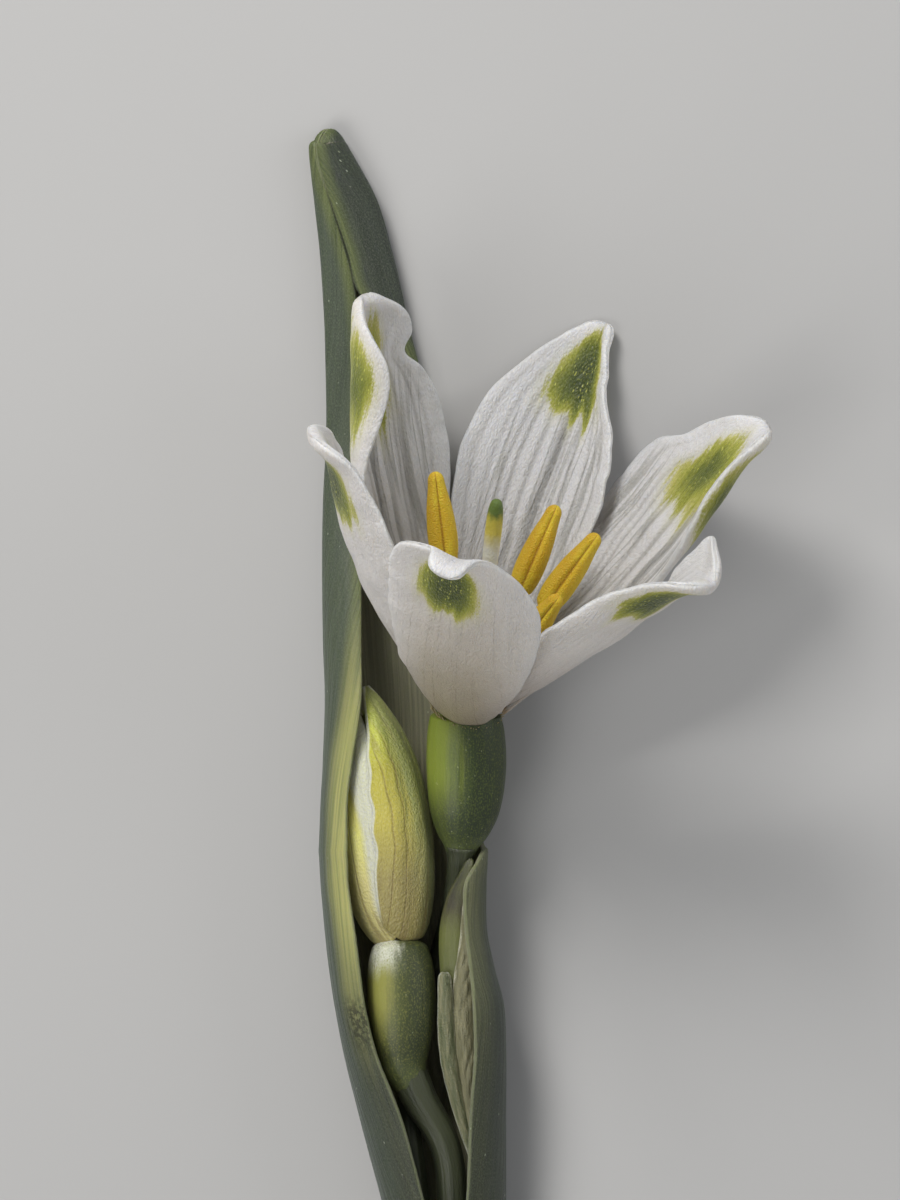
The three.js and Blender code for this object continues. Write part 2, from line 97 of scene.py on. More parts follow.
ROOM_COLOUR, ROOM_STRENGTH = (0.80, 0.82, 0.84, 1), 0.35
room = bpy.data.worlds.new("room")
bpy.context.scene.world = room
room.use_nodes = True
room.node_tree.nodes["Background"].inputs["Color"].default_value = ROOM_COLOUR
room.node_tree.nodes["Background"].inputs["Strength"].default_value = ROOM_STRENGTH
bpy.context.scene.view_settings.view_transform = "Standard"
bpy.context.scene.view_settings.look = "None"

SURFACE_HALF = 1.5                     # in metres
SURFACE_COLOUR, SURFACE_ROUGHNESS = (0.50, 0.495, 0.49, 1), 0.9
surface_mesh = bpy.data.meshes.new("pale_surface")
surface_mesh.from_pydata(
    [(x * SURFACE_HALF, y * SURFACE_HALF, 0.0) for x, y in ((-1, -1), (1, -1), (1, 1), (-1, 1))],
    [], [(0, 1, 2, 3)])
surface = bpy.data.objects.new("pale_surface", surface_mesh)
bpy.context.scene.collection.objects.link(surface)
pale_card = bpy.data.materials.new("pale_card")
pale_card.use_nodes = True
card_shader = pale_card.node_tree.nodes["Principled BSDF"]
card_shader.inputs["Base Color"].default_value = SURFACE_COLOUR
card_shader.inputs["Roughness"].default_value = SURFACE_ROUGHNESS
surface_mesh.materials.append(pale_card)

# ---- Stem -------------------------------------------------------------------------------------
# The scape is a flattened green stalk, hollow inside, with fine lengthwise ridges under a waxy
# bloom. It was cut square below; its cut shows the pale flesh, a ring of fibres and the hollow.
PATH_SAMPLES = 401                     # along a path, to measure it
END_CROWDING = 0.7                     # how much closer the rings of a round body lie at its ends
THIN_RADIUS = 0.15                     # where a body is thinner than this, its relief shrinks too


def through(knots, places):
    """The values of a smooth curve through knots (place, value, ...), at each of the places."""
    knots = np.asarray(knots, float)
    at, values = knots[:, 0], knots[:, 1:]
    order = np.arange(len(at))
    after = np.minimum(order + 1, len(at) - 1)
    before = np.maximum(order - 1, 0)
    slope = (values[after] - values[before]) / (at[after] - at[before])[:, None]
    places = np.clip(np.atleast_1d(np.asarray(places, float)), at[0], at[-1])
    k = np.clip(np.searchsorted(at, places, side="left") - 1, 0, len(at) - 2)
    span = (at[k + 1] - at[k])[:, None]
    u = (places - at[k])[:, None] / span
    return ((2 * u**3 - 3 * u**2 + 1) * values[k] + (u**3 - 2 * u**2 + u) * span * slope[k]
            + (3 * u**2 - 2 * u**3) * values[k + 1] + (u**3 - u**2) * span * slope[k + 1])


def unit(vectors):
    return vectors / np.linalg.norm(vectors, axis=-1, keepdims=True)


def soft_step(values, low, high):
    u = np.clip((np.asarray(values, float) - low) / (high - low), 0, 1)
    return u * u * (3 - 2 * u)


def reach_along(path):
    """How far along a path each of its points lies."""
    return np.concatenate(([0], np.cumsum(np.linalg.norm(np.diff(path, axis=0), axis=1))))


def rounded(share, least=0.0):
    """The half width of a round end, at that share of its length from its very tip."""
    return np.sqrt(np.clip(1 - (1 - np.clip(share, 0, 1)) ** 2, least, 1))


def ripple(seed, longest, shortest, waves=7):
    """A gentle uneven wave of one or two measures, between -1 and 1, always the same for a seed."""
    draw = np.random.default_rng(seed)
    pull = 2 * math.pi / draw.uniform(shortest, longest, (waves, 2))
    pull *= draw.choice((-1, 1), (waves, 2))
    start = draw.uniform(0, 2 * math.pi, waves)

    def wave(x, y=0.0):
        return sum(np.sin(pull[n, 0] * x + pull[n, 1] * y + start[n]) for n in range(waves)) / waves
    return wave


def make_piece(name, shape, finish, stands_for):
    """A smooth piece of the sprig. shape is its points, faces, and fields that its finish reads."""
    points, faces, fields = shape
    mesh = bpy.data.meshes.new(name)
    mesh.from_pydata(in_frame(points).tolist(), [], faces)
    mesh.update()
    mesh.shade_smooth()
    for field, values in fields.items():
        kept = mesh.attributes.new(field, "FLOAT_VECTOR", "POINT")
        kept.data.foreach_set("vector", np.asarray(values, np.float32).ravel())
    mesh.materials.append(finish)
    piece = bpy.data.objects.new(name, mesh)
    bpy.context.scene.collection.objects.link(piece)
    if stands_for:
        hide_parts(*stands_for)
    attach(piece, "root")
    return piece


def stalk_skin(path, half_sizes, sides, steps, round_start=0.0, round_end=0.0, relief=None):
    """The skin of a round body along a smooth path: points, faces, and the fields of its skin.

    half_sizes are knots (place, half width, half depth). An end is rounded off over its length
    in millimetres. relief(place, angle) is added to the radius.
    """
    path = np.asarray(path, float)
    reach = reach_along(path)
    fine = through(np.column_stack((reach / reach[-1], path)), np.linspace(0, 1, PATH_SAMPLES))
    run = reach_along(fine)
    even = np.linspace(0, 1, steps + 1)
    crowding = END_CROWDING if round_start or round_end else 0.0
    place = (1 - crowding) * even + crowding * (0.5 - 0.5 * np.cos(math.pi * even))
    centre = np.column_stack([np.interp(place * run[-1], run, fine[:, axis]) for axis in range(3)])
    ahead = unit(np.gradient(centre, axis=0))
    wide = unit(np.cross(ahead, (0, 0, 1)))
    deep = np.cross(ahead, wide)
    half = through(half_sizes, place)
    length = place * run[-1]
    for rounding, way in ((round_start, length), (round_end, run[-1] - length)):
        if rounding:
            half = half * rounded(way / rounding, least=1e-4)[:, None]
    angle = np.linspace(0, 2 * math.pi, sides, endpoint=False)
    spread = np.ones((steps + 1, sides))
    if relief:
        radius = np.maximum(half.mean(1), THIN_RADIUS)[:, None]
        spread = spread + relief(place[:, None], angle[None, :]) / radius
    across = half[:, :1] * np.cos(angle) * spread
    through_it = half[:, 1:] * np.sin(angle) * spread
    points = (centre[:, None] + across[..., None] * wide[:, None]
              + through_it[..., None] * deep[:, None])
    index = np.arange((steps + 1) * sides).reshape(steps + 1, sides)
    turned = np.roll(index, -1, axis=1)
    faces = np.stack((index[:-1], turned[:-1], turned[1:], index[1:]), -1).reshape(-1, 4).tolist()
    first, last = index.size, index.size + 1
    faces += [[first, int(turned[0, j]), int(index[0, j])] for j in range(sides)]
    faces += [[last, int(index[-1, j]), int(turned[-1, j])] for j in range(sides)]
    points = np.concatenate((points.reshape(-1, 3), centre[:1], centre[-1:]))
    skin = np.stack((across, np.broadcast_to(length[:, None], across.shape), through_it), -1)
    skin = np.concatenate((skin.reshape(-1, 3), [[0, 0, 0], [0, run[-1], 0]]))
    where = np.stack(np.broadcast_arrays(place[:, None], np.cos(angle), np.sin(angle)), -1)
    where = np.concatenate((where.reshape(-1, 3), [[0, 0, 0], [1, 0, 0]]))
    return points, faces, {"skin": skin, "where": where}


class Finish:
    """A finish in the making: one shader, and the pattern nodes that feed it.

    flesh is how much of the light goes on through the skin, how far it goes for red, green and
    blue, and the millimetres which that is a share of.
    """

    def __init__(self, name, flesh, **values):
        self.material = bpy.data.materials.new(name)
        self.material.use_nodes = True
        self.tree = self.material.node_tree
        self.shader = self.tree.nodes["Principled BSDF"]
        weight, reach, scale = flesh
        values.update(Subsurface_Weight=weight, Subsurface_Radius=reach, Subsurface_Scale=scale * MM)
        for socket, value in values.items():
            self.shader.inputs[socket.replace("_", " ")].default_value = value

    def give(self, socket, source):
        if isinstance(source, bpy.types.NodeSocket):
            self.tree.links.new(source, socket)
        else:
            socket.default_value = source if isinstance(source, (int, float)) else (*source, 1)[:4]

    def field(self, name, axis=None):
        """What make_piece kept at each point: the vector, or one of its three numbers."""
        read = self.tree.nodes.new("ShaderNodeAttribute")
        read.attribute_name = name
        if axis is None:
            return read.outputs["Vector"]
        apart = self.tree.nodes.new("ShaderNodeSeparateXYZ")
        self.tree.links.new(read.outputs["Vector"], apart.inputs[0])
        return apart.outputs[axis]

    def maths(self, operation, a, b=0.0):
        made = self.tree.nodes.new("ShaderNodeMath")
        made.operation = operation
        self.give(made.inputs[0], a)
        self.give(made.inputs[1], b)
        return made.outputs[0]

    def times(self, a, b):
        return self.maths("MULTIPLY", a, b)

    def plus(self, a, b):
        return self.maths("ADD", a, b)

    def rest(self, value):
        """What value leaves of 1."""
        return self.maths("SUBTRACT", 1.0, value)

    def scaled(self, value, factor, low):
        """low, and factor times value on top of it."""
        return self.plus(self.times(value, factor), low)

    def centred(self, value, width):
        """A value between 0 and 1 made to lie evenly about 0, and as wide as width."""
        return self.times(self.maths("SUBTRACT", value, 0.5), width)

    def step(self, value, low, high):
        """0 below low, 1 above high, and smooth between them; the other way where low is above."""
        made = self.tree.nodes.new("ShaderNodeMapRange")
        made.interpolation_type = "SMOOTHSTEP"
        self.give(made.inputs["Value"], value)
        made.inputs["From Min"].default_value = low
        made.inputs["From Max"].default_value = high
        return made.outputs[0]

    def until(self, value, low, high):
        """1 below low, 0 above high, and smooth between them."""
        return self.rest(self.step(value, low, high))

    def stretched(self, stretch):
        """The place on the skin in millimetres, times stretch each way."""
        made = self.tree.nodes.new("ShaderNodeVectorMath")
        made.operation = "MULTIPLY"
        self.tree.links.new(self.field("skin"), made.inputs[0])
        made.inputs[1].default_value = stretch
        return made.outputs[0]

    def grain(self, stretch, detail=2.0, rough=0.5):
        """Uneven pattern from 0 to 1, with that many waves to a millimetre each way."""
        made = self.tree.nodes.new("ShaderNodeTexNoise")
        made.inputs["Scale"].default_value = 1.0
        made.inputs["Detail"].default_value = detail
        made.inputs["Roughness"].default_value = rough
        self.tree.links.new(self.stretched(stretch), made.inputs["Vector"])
        return made.outputs["Fac"]

    def cells(self, stretch):
        """Small cells, with that many to a millimetre each way: 0 in the middle of each."""
        made = self.tree.nodes.new("ShaderNodeTexVoronoi")
        made.inputs["Scale"].default_value = 1.0
        self.tree.links.new(self.stretched(stretch), made.inputs["Vector"])
        return made.outputs["Distance"]

    def lines(self, stretch, width):
        """Thin uneven lines along the piece: 1 on a line, 0 between the lines."""
        off = self.maths("ABSOLUTE", self.maths("SUBTRACT", self.grain(stretch, 1.5, 0.4), 0.5))
        return self.until(off, 0.0, width)

    def mix(self, share, base, colour):
        made = self.tree.nodes.new("ShaderNodeMix")
        made.data_type = "RGBA"
        self.give(made.inputs[0], share)
        self.give(made.inputs[6], base)
        self.give(made.inputs[7], colour)
        return made.outputs[2]

    def tint(self, base, colour, where, strength):
        """base, with up to that much of colour on it where the pattern is 1."""
        return self.mix(self.times(where, strength), base, colour)

    def ramp(self, value, stops):
        made = self.tree.nodes.new("ShaderNodeValToRGB")
        band = made.color_ramp
        for n, (place, colour) in enumerate(stops):
            stop = band.elements[n] if n < 2 else band.elements.new(place)
            stop.position = place
            stop.color = (*colour, 1)
        self.give(made.inputs[0], value)
        return made.outputs[0]

    def bump(self, height, depth, below=None):
        """Relief of that depth in millimetres, on top of the relief below."""
        made = self.tree.nodes.new("ShaderNodeBump")
        made.inputs["Distance"].default_value = depth * MM
        self.give(made.inputs["Height"], height)
        if below is not None:
            self.tree.links.new(below, made.inputs["Normal"])
        return made.outputs[0]

    def show(self, **sources):
        for socket, source in sources.items():
            self.give(self.shader.inputs[socket.replace("_", " ")], source)
        return self.material


def green_stalk(name, pale, deep, roughness=0.42):
    """A smooth green stalk: lengthwise stripes of two greens, fine cells and a faint wax bloom."""
    made = Finish(name, flesh=(0.25, (0.6, 0.9, 0.25), 0.5), Specular_IOR_Level=0.4)
    broad = made.grain((1.1, 0.09, 1.1), 3.0)
    fine = made.grain((9.0, 0.8, 9.0))
    colour = made.mix(made.step(broad, 0.35, 0.68), deep, pale)
    colour = made.tint(colour, pale, made.step(fine, 0.3, 0.75), 0.35)
    relief = made.bump(made.grain((16.0, 5.0, 16.0)), 0.02)
    relief = made.bump(made.grain((5.0, 0.15, 5.0), 1.0), 0.05, relief)
    return made.show(Base_Color=colour, Normal=relief,
                     Roughness=made.scaled(fine, 0.2, roughness - 0.1))


STEM_PATH = [(-1.15, -41.0, 2.3), (-1.05, -33.0, 2.3), (-0.97, -26.0, 2.45), (-0.95, -25.0, 2.5)]
STEM_HALF = [(0, 3.0, 2.3), (0.56, 2.9, 2.25), (0.94, 2.75, 2.15), (1, 2.3, 1.8)]
STEM_SIDES, STEM_STEPS = 132, 90
STEM_RIDGES, STEM_RIDGE_HEIGHT = 22, 0.035
CUT_MIDDLE = STEM_SIDES * (STEM_STEPS + 1)        # the point that closes the stem's lower end
# how far out, and how deep behind the cut, each ring of the cut face and of the hollow lies
CUT_RINGS = [(0.985, -0.015), (0.95, -0.03), (0.80, 0.03), (0.62, 0.0), (0.48, 0.10), (0.42, 0.45),
             (0.38, 1.4), (0.2, 1.9), (0.02, 2.0)]


def stem_ridges(place, angle):
    return STEM_RIDGE_HEIGHT * np.cos(STEM_RIDGES * angle + 1.2 * np.sin(3 * angle))


def cut_stem():
    """The ridged skin, and from its lower rim the cut: over the flesh, then down the hollow."""
    stem_points, faces, fields = stalk_skin(
        STEM_PATH, STEM_HALF, STEM_SIDES, STEM_STEPS, relief=stem_ridges)
    faces = [face for face in faces if CUT_MIDDLE not in face]
    rim = stem_points[:STEM_SIDES]
    middle = stem_points[CUT_MIDDLE]
    points, where = [stem_points], [fields["where"]]
    before = np.arange(STEM_SIDES)
    total = len(stem_points)
    angle = np.linspace(0, 2 * math.pi, STEM_SIDES, endpoint=False)
    uneven = 1 + 0.03 * ripple(41, 2.5, 0.6)(6 * np.cos(angle), 6 * np.sin(angle))
    for out, depth in CUT_RINGS:
        ring = middle + (rim - middle) * (out * uneven)[:, None]
        ring[:, 1] += depth
        points.append(ring)
        where.append(np.column_stack((np.full(STEM_SIDES, -out), np.cos(angle), np.sin(angle))))
        now = total + np.arange(STEM_SIDES)
        faces += np.stack((now, np.roll(now, -1), np.roll(before, -1), before), -1).tolist()
        before, total = now, total + STEM_SIDES
    faces.append(before.tolist()[::-1])
    points = np.concatenate(points)
    skin = np.concatenate((fields["skin"], points[len(stem_points):] - middle))
    return points, faces, {"skin": skin, "where": np.concatenate(where)}


def cut_flesh():
    """Pale flesh on the cut face, with a ring of fibres in it."""
    made = Finish("cut_flesh", flesh=(0.4, (0.8, 1.0, 0.4), 0.5), Roughness=0.35)
    out = made.times(made.field("where", 0), -1.0)
    wet = made.cells((5.0, 5.0, 5.0))
    flesh = made.ramp(out, [(0.35, (0.30, 0.36, 0.16)), (0.5, (0.50, 0.55, 0.32)),
                            (0.8, (0.42, 0.50, 0.22)), (0.97, (0.16, 0.24, 0.08))])
    fibres = made.times(made.until(wet, 0.12, 0.3), made.step(out, 0.6, 0.75))
    return made.show(Base_Color=made.mix(fibres, flesh, (0.62, 0.63, 0.42)),
                     Normal=made.bump(wet, 0.06))


stem_green = green_stalk("stem_green", (0.15, 0.20, 0.085), (0.075, 0.115, 0.048), 0.45)
stem_shape = cut_stem()
stem = make_piece("stem_skin", stem_shape, stem_green, ["stem"])
stem.data.materials.append(cut_flesh())
on_the_cut = stem_shape[2]["where"][:, 0] < 0
for face in stem.data.polygons:
    face.material_index = int(on_the_cut[face.vertices[0]] and on_the_cut[face.vertices[-1]])

# ---- Sheath -----------------------------------------------------------------------------------
# The spathe is one long leaf-like blade folded round the stalks: it closes in a hood at its tip,
# opens along its front, and grows from the stem's top. Blue-green wax outside, yellow-green edges.
BLADE_KEEL = 0.3                        # height of the blade's middle over the surface at its keel
# y, keel x, half width left and right, half depth, wrap of the left and right wing in degrees
SHEATH_ROWS = [
    (28.46, -6.74, 0.03, 0.03, 0.40, 140, 206),
    (28.38, -6.76, 0.30, 0.32, 0.42, 140, 206),
    (28.12, -6.79, 0.50, 0.58, 0.44, 138, 210),
    (27.76, -6.80, 0.56, 0.70, 0.46, 135, 215),
    (27.46, -6.79, 0.74, 0.84, 0.46, 132, 222),
    (25.00, -6.05, 1.22, 1.44, 0.46, 150, 208),
    (22.54, -5.56, 1.44, 1.68, 0.46, 166, 192),
    (20.58, -5.26, 1.60, 1.86, 0.46, 173, 184),
    (18.13, -4.94, 1.80, 2.08, 0.48, 172, 130),
    (13.73, -4.29, 2.39, 2.60, 0.60, 160, 92),
    (10.31, -4.09, 2.73, 3.00, 1.00, 158, 78),
    (7.37, -3.87, 2.99, 3.40, 1.50, 155, 66),
    (3.48, -3.53, 3.28, 3.80, 2.25, 151, 55),
    (0.56, -3.33, 3.38, 4.00, 2.70, 148, 52),
    (-2.37, -3.21, 3.59, 4.20, 2.95, 139, 54),
    (-4.31, -3.18, 3.72, 4.25, 3.05, 135, 62),
    (-6.35, -3.16, 3.82, 4.04, 3.09, 136, 74),
    (-6.75, -3.16, 3.84, 4.00, 3.10, 136, 100),
    (-7.40, -3.14, 3.82, 3.94, 3.10, 136, 116),
    (-8.45, -3.11, 3.79, 3.85, 3.10, 136, 129),
    (-10.64, -2.97, 3.74, 3.74, 3.10, 139, 129),
    (-12.50, -2.68, 3.82, 3.82, 3.08, 139, 132),
    (-14.34, -2.31, 3.91, 3.91, 3.05, 138, 138),
    (-16.63, -2.04, 3.74, 3.74, 2.95, 142, 140),
    (-19.41, -1.70, 3.40, 3.40, 2.80, 153, 147),
    (-21.85, -1.38, 3.08, 3.08, 2.65, 158, 152),
    (-23.80, -1.12, 2.82, 2.82, 2.50, 161, 158),
    (-25.20, -0.98, 2.72, 2.72, 2.33, 168, 168),
    (-26.10, -0.98, 2.78, 2.78, 2.17, 176, 176),
    (-26.70, -0.98, 2.82, 2.82, 2.17, 179, 179),
]
SHEATH_LENGTH_STEPS, SHEATH_WRAP_STEPS = 420, 60     # wrap steps to each side of the keel
SHEATH_THICKNESS = 0.42
OVER_STEM, HOOD_TIP = (24.6, 26.6), (27.6, 28.3)     # below and above the foot, where it thins out
SHEATH_RIDGES, SHEATH_RIDGE_HEIGHT = 19, 0.012
SHEATH_BEND, SHEATH_CRINKLE = 0.05, 0.02
LEAST_HALF_THICKNESS = 0.03
FACES_APART = 7.0                      # so that a blade's two faces don't share one pattern


def blade(middle, thickness, near_relief=None, far_relief=None, edge_share=0.35,
          masks=(0.0, 0.0)):
    """A thin closed blade: points, faces and fields, from the grid of points in its middle.

    Rows run along the blade and columns across it. It thins towards its side edges to edge_share.
    A mask is a value at each point, or two such values, for the near face and the far one; the
    field masks holds how far in from the side edge a point lies, and the two masks.
    """
    rows, columns = middle.shape[:2]
    along = np.gradient(middle, axis=0)
    over = np.gradient(middle, axis=1)
    normal = unit(np.cross(along, over))
    across = np.broadcast_to(np.linspace(-1, 1, columns), (rows, columns))
    full = edge_share + (1 - edge_share) * np.sqrt(np.clip(1 - across**8, 0, 1))
    half = np.asarray(thickness) / 2 * full
    sides = [half + (0 if relief is None else relief) for relief in (near_relief, far_relief)]
    sides = [np.maximum(side, LEAST_HALF_THICKNESS) for side in sides]
    near = middle + normal * sides[0][..., None]
    far = middle - normal * sides[1][..., None]
    count = rows * columns
    index = np.arange(count).reshape(rows, columns)
    a, b, c, d = index[:-1, :-1], index[1:, :-1], index[1:, 1:], index[:-1, 1:]
    faces = np.concatenate((np.stack((a, b, c, d), -1).reshape(-1, 4),
                            np.stack((a, d, c, b), -1).reshape(-1, 4) + count))
    rim = np.concatenate((index[:-1, 0], index[-1, :-1], index[:0:-1, -1], index[0, :0:-1]))
    after = np.roll(rim, -1)
    faces = np.concatenate((faces, np.stack((after, rim, rim + count, after + count), -1)))
    ahead = reach_along(middle[:, columns // 2])
    gaps = np.linalg.norm(np.diff(middle, axis=1), axis=2)
    out = np.concatenate((np.zeros((rows, 1)), np.cumsum(gaps, axis=1)), axis=1)
    out = out - out[:, columns // 2:columns // 2 + 1]
    edge = np.minimum(out - out[:, :1], out[:, -1:] - out)
    fields = {"skin": [], "where": [], "masks": []}
    for side in (0, 1):
        kept = {"skin": (out, ahead[:, None], FACES_APART * side),
                "where": (np.linspace(0, 1, rows)[:, None], across, side),
                "masks": (edge, *(mask[side] if isinstance(mask, tuple) else mask for mask in masks))}
        for name, values in kept.items():
            fields[name].append(np.stack(np.broadcast_arrays(*values), -1).reshape(-1, 3))
    fields = {name: np.concatenate(pair) for name, pair in fields.items()}
    return np.concatenate((near.reshape(-1, 3), far.reshape(-1, 3))), faces.tolist(), fields


def sheath_middle():
    rows = [(n, *row) for n, row in enumerate(SHEATH_ROWS)]
    place = np.linspace(0, len(rows) - 1, SHEATH_LENGTH_STEPS + 1)
    y, keel, left_half, right_half, depth, left, right = through(rows, place).T
    share = np.linspace(-1, 1, 2 * SHEATH_WRAP_STEPS + 1)
    on_left = share[None, :] < 0
    wrap = np.radians(np.where(on_left, left[:, None], right[:, None]) * share)
    half = np.where(on_left, left_half[:, None], right_half[:, None])
    x = keel[:, None] + half * np.sin(wrap)
    z = BLADE_KEEL + depth[:, None] * (1 - np.cos(wrap))
    return np.stack((x, np.broadcast_to(y[:, None], x.shape), z), -1)


def sheath_piece():
    middle = sheath_middle()
    share = np.linspace(-1, 1, middle.shape[1])[None, :]
    y = middle[..., 1]
    uneven = ripple(7, 9.0, 2.0)
    fine = ripple(8, 0.9, 0.35)
    bent = SHEATH_BEND * uneven(3.0 * middle[..., 0], y) * soft_step(np.abs(share), 0.2, 0.9)
    waving = 0.8 * uneven(share * 9, 0.1 * y)
    ridges = SHEATH_RIDGE_HEIGHT * np.cos(2 * math.pi * share * SHEATH_RIDGES + waving)
    crinkle = SHEATH_CRINKLE * fine(y * 0.8, share * 2) * soft_step(np.abs(share), 0.9, 1.0)
    thickness = SHEATH_THICKNESS * (1 - 0.65 * soft_step(-y, *OVER_STEM))
    thickness = thickness * (1 - 0.7 * soft_step(y, *HOOD_TIP))
    middle[..., 2] += bent
    return blade(middle, thickness, 0.5 * ridges + crinkle, ridges + crinkle, edge_share=0.3,
                 masks=(y, 0.0))


def sheath_skin():
    """Blue-green wax bloom outside with a yellow-green band along each edge; dull olive inside.
    Painted shade darkens the right wing and the lower part.
    """
    made = Finish("sheath_skin", flesh=(0.3, (0.5, 0.8, 0.2), 0.45),
                  Specular_IOR_Level=0.35, Sheen_Weight=0.12, Sheen_Roughness=0.4,
                  Sheen_Tint=(0.8, 0.9, 0.95, 1))
    from_edge = made.field("masks", 0)
    y = made.field("masks", 1)
    outside = made.field("where", 2)
    on_left = made.step(made.field("where", 1), 0.1, -0.1)
    beside_bud = made.step(y, 6.0, -2.0)
    low = made.step(y, -9.0, -19.0)
    broad = made.grain((0.7, 0.03, 1.0))
    streaks = made.grain((8.0, 0.10, 1.0), 2.0, 0.55)
    fine = made.grain((26.0, 9.0, 1.0))

    def streaked(dark, light, start=0.3, full=0.7):
        return made.mix(made.step(streaks, start, full), dark, light)

    # the wax, darker on the right side as painted shade, yellower high on the right wing
    wax = streaked((0.046, 0.062, 0.040), (0.074, 0.094, 0.062), 0.25, 0.75)
    grey = streaked((0.022, 0.028, 0.021), (0.037, 0.045, 0.034), 0.25, 0.75)
    # painted shade: grey, duller wax on the right side
    wax = made.mix(made.scaled(on_left, 0.75, 0.05), grey, wax)
    wax = made.tint(wax, (0.080, 0.100, 0.048), made.step(broad, 0.4, 0.7), 0.25)
    # painted shade: darker low down
    wax = made.tint(wax, (0.030, 0.037, 0.027), low, 0.5)
    wing_top = made.times(made.times(made.step(y, -15.0, -7.0), made.rest(on_left)), beside_bud)
    wax = made.tint(wax, (0.085, 0.094, 0.046), wing_top, 0.7)
    # the band along the edge: broad and lime beside the closed bud on the left, darker on the right
    # wing and low down as painted shade, narrow and dark in the hood
    lime = streaked((0.24, 0.26, 0.090), (0.44, 0.42, 0.150))
    hood = streaked((0.062, 0.079, 0.028), (0.118, 0.140, 0.045))
    olive = streaked((0.024, 0.029, 0.017), (0.050, 0.056, 0.029))
    shaded_right_edge = streaked((0.085, 0.094, 0.045), (0.155, 0.158, 0.076))
    hood = made.mix(beside_bud, hood, shaded_right_edge)
    lime = made.mix(made.times(beside_bud, on_left), hood, lime)
    # painted shade: the edge band olive low down
    lime = made.mix(low, lime, olive)
    reach = made.scaled(beside_bud, 0.48, 0.42)
    uneven_edge = made.plus(from_edge, made.centred(streaks, 0.35))
    band = made.until(made.maths("DIVIDE", uneven_edge, reach), 0.5, 1.9)
    skin = made.mix(band, wax, lime)
    inside = streaked((0.190, 0.185, 0.120), (0.300, 0.290, 0.185), 0.3, 0.75)
    skin = made.mix(outside, inside, skin)
    # a thin pale rim, and a painted shadow: a dark line where the two edges of the hood meet
    rim = made.until(from_edge, 0.02, 0.12)
    slit_shadow = made.times(made.step(y, 26.5, 24.0), made.step(y, 15.0, 19.0))
    pale_rim = made.times(rim, made.maths("SUBTRACT", 0.35, made.times(slit_shadow, 0.35)))
    skin = made.mix(pale_rim, skin, (0.34, 0.36, 0.20))
    skin = made.tint(skin, (0.012, 0.014, 0.006), made.times(rim, slit_shadow), 0.85)
    skin = made.tint(skin, (0.36, 0.40, 0.28), made.step(fine, 0.4, 0.7), 0.16)
    # one bruise, low on the left wing's edge
    bruise = made.times(made.step(y, -13.4, -14.6), made.step(y, -16.8, -15.6))
    bruise = made.times(bruise, made.step(from_edge, 1.7, 0.7))
    bruise = made.times(bruise, made.times(on_left, outside))
    mottled = made.step(made.grain((4.5, 3.5, 1.0), 3.0, 0.65), 0.40, 0.56)
    skin = made.mix(made.times(bruise, made.times(mottled, 0.85)), skin, (0.030, 0.032, 0.015))
    # dust
    speck = made.until(made.cells((1.7, 0.9, 1.0)), 0.03, 0.07)
    skin = made.tint(skin, (0.55, 0.6, 0.45), speck, 0.6)
    relief = made.bump(made.grain((18.0, 7.0, 1.0), 3.0, 0.6), 0.022)
    relief = made.bump(streaks, 0.05, relief)
    return made.show(Base_Color=skin, Normal=relief, Roughness=made.scaled(fine, 0.25, 0.36))


make_piece("sheath_blade", sheath_piece(), sheath_skin(), ["sheath"])

# ---- Stalk and ovary of the open flower -------------------------------------------------------
# The pedicel is a thin smooth stalk. It swells into the ovary, a smooth egg with three faint lobes,
# deep green with lighter stripes, on which the petals stand.
FLOWER_FOOT = np.array((0.0, 0.4, 4.8))           # where the petals join the ovary
FLOWER_LEAN, FLOWER_TILT = np.radians((14, 30))   # to the right, and up off the surface
FLOWER_AXIS = np.array((math.sin(FLOWER_LEAN) * math.cos(FLOWER_TILT),
                        math.cos(FLOWER_LEAN) * math.cos(FLOWER_TILT), math.sin(FLOWER_TILT)))
FLOWER_BACK = np.array((math.sin(FLOWER_LEAN) * math.sin(FLOWER_TILT),
                        math.cos(FLOWER_LEAN) * math.sin(FLOWER_TILT), -math.cos(FLOWER_TILT)))
FLOWER_RIGHT = np.array((math.cos(FLOWER_LEAN), -math.sin(FLOWER_LEAN), 0.0))
OVARY_DROP = 0.42                                 # of its top below the flower's foot
OVARY_HALF = [(0, 0.60, 0.60), (0.06, 0.82, 0.80), (0.16, 1.28, 1.24), (0.32, 1.70, 1.66),
              (0.6, 1.92, 1.87), (0.85, 1.86, 1.82), (1, 1.66, 1.66)]


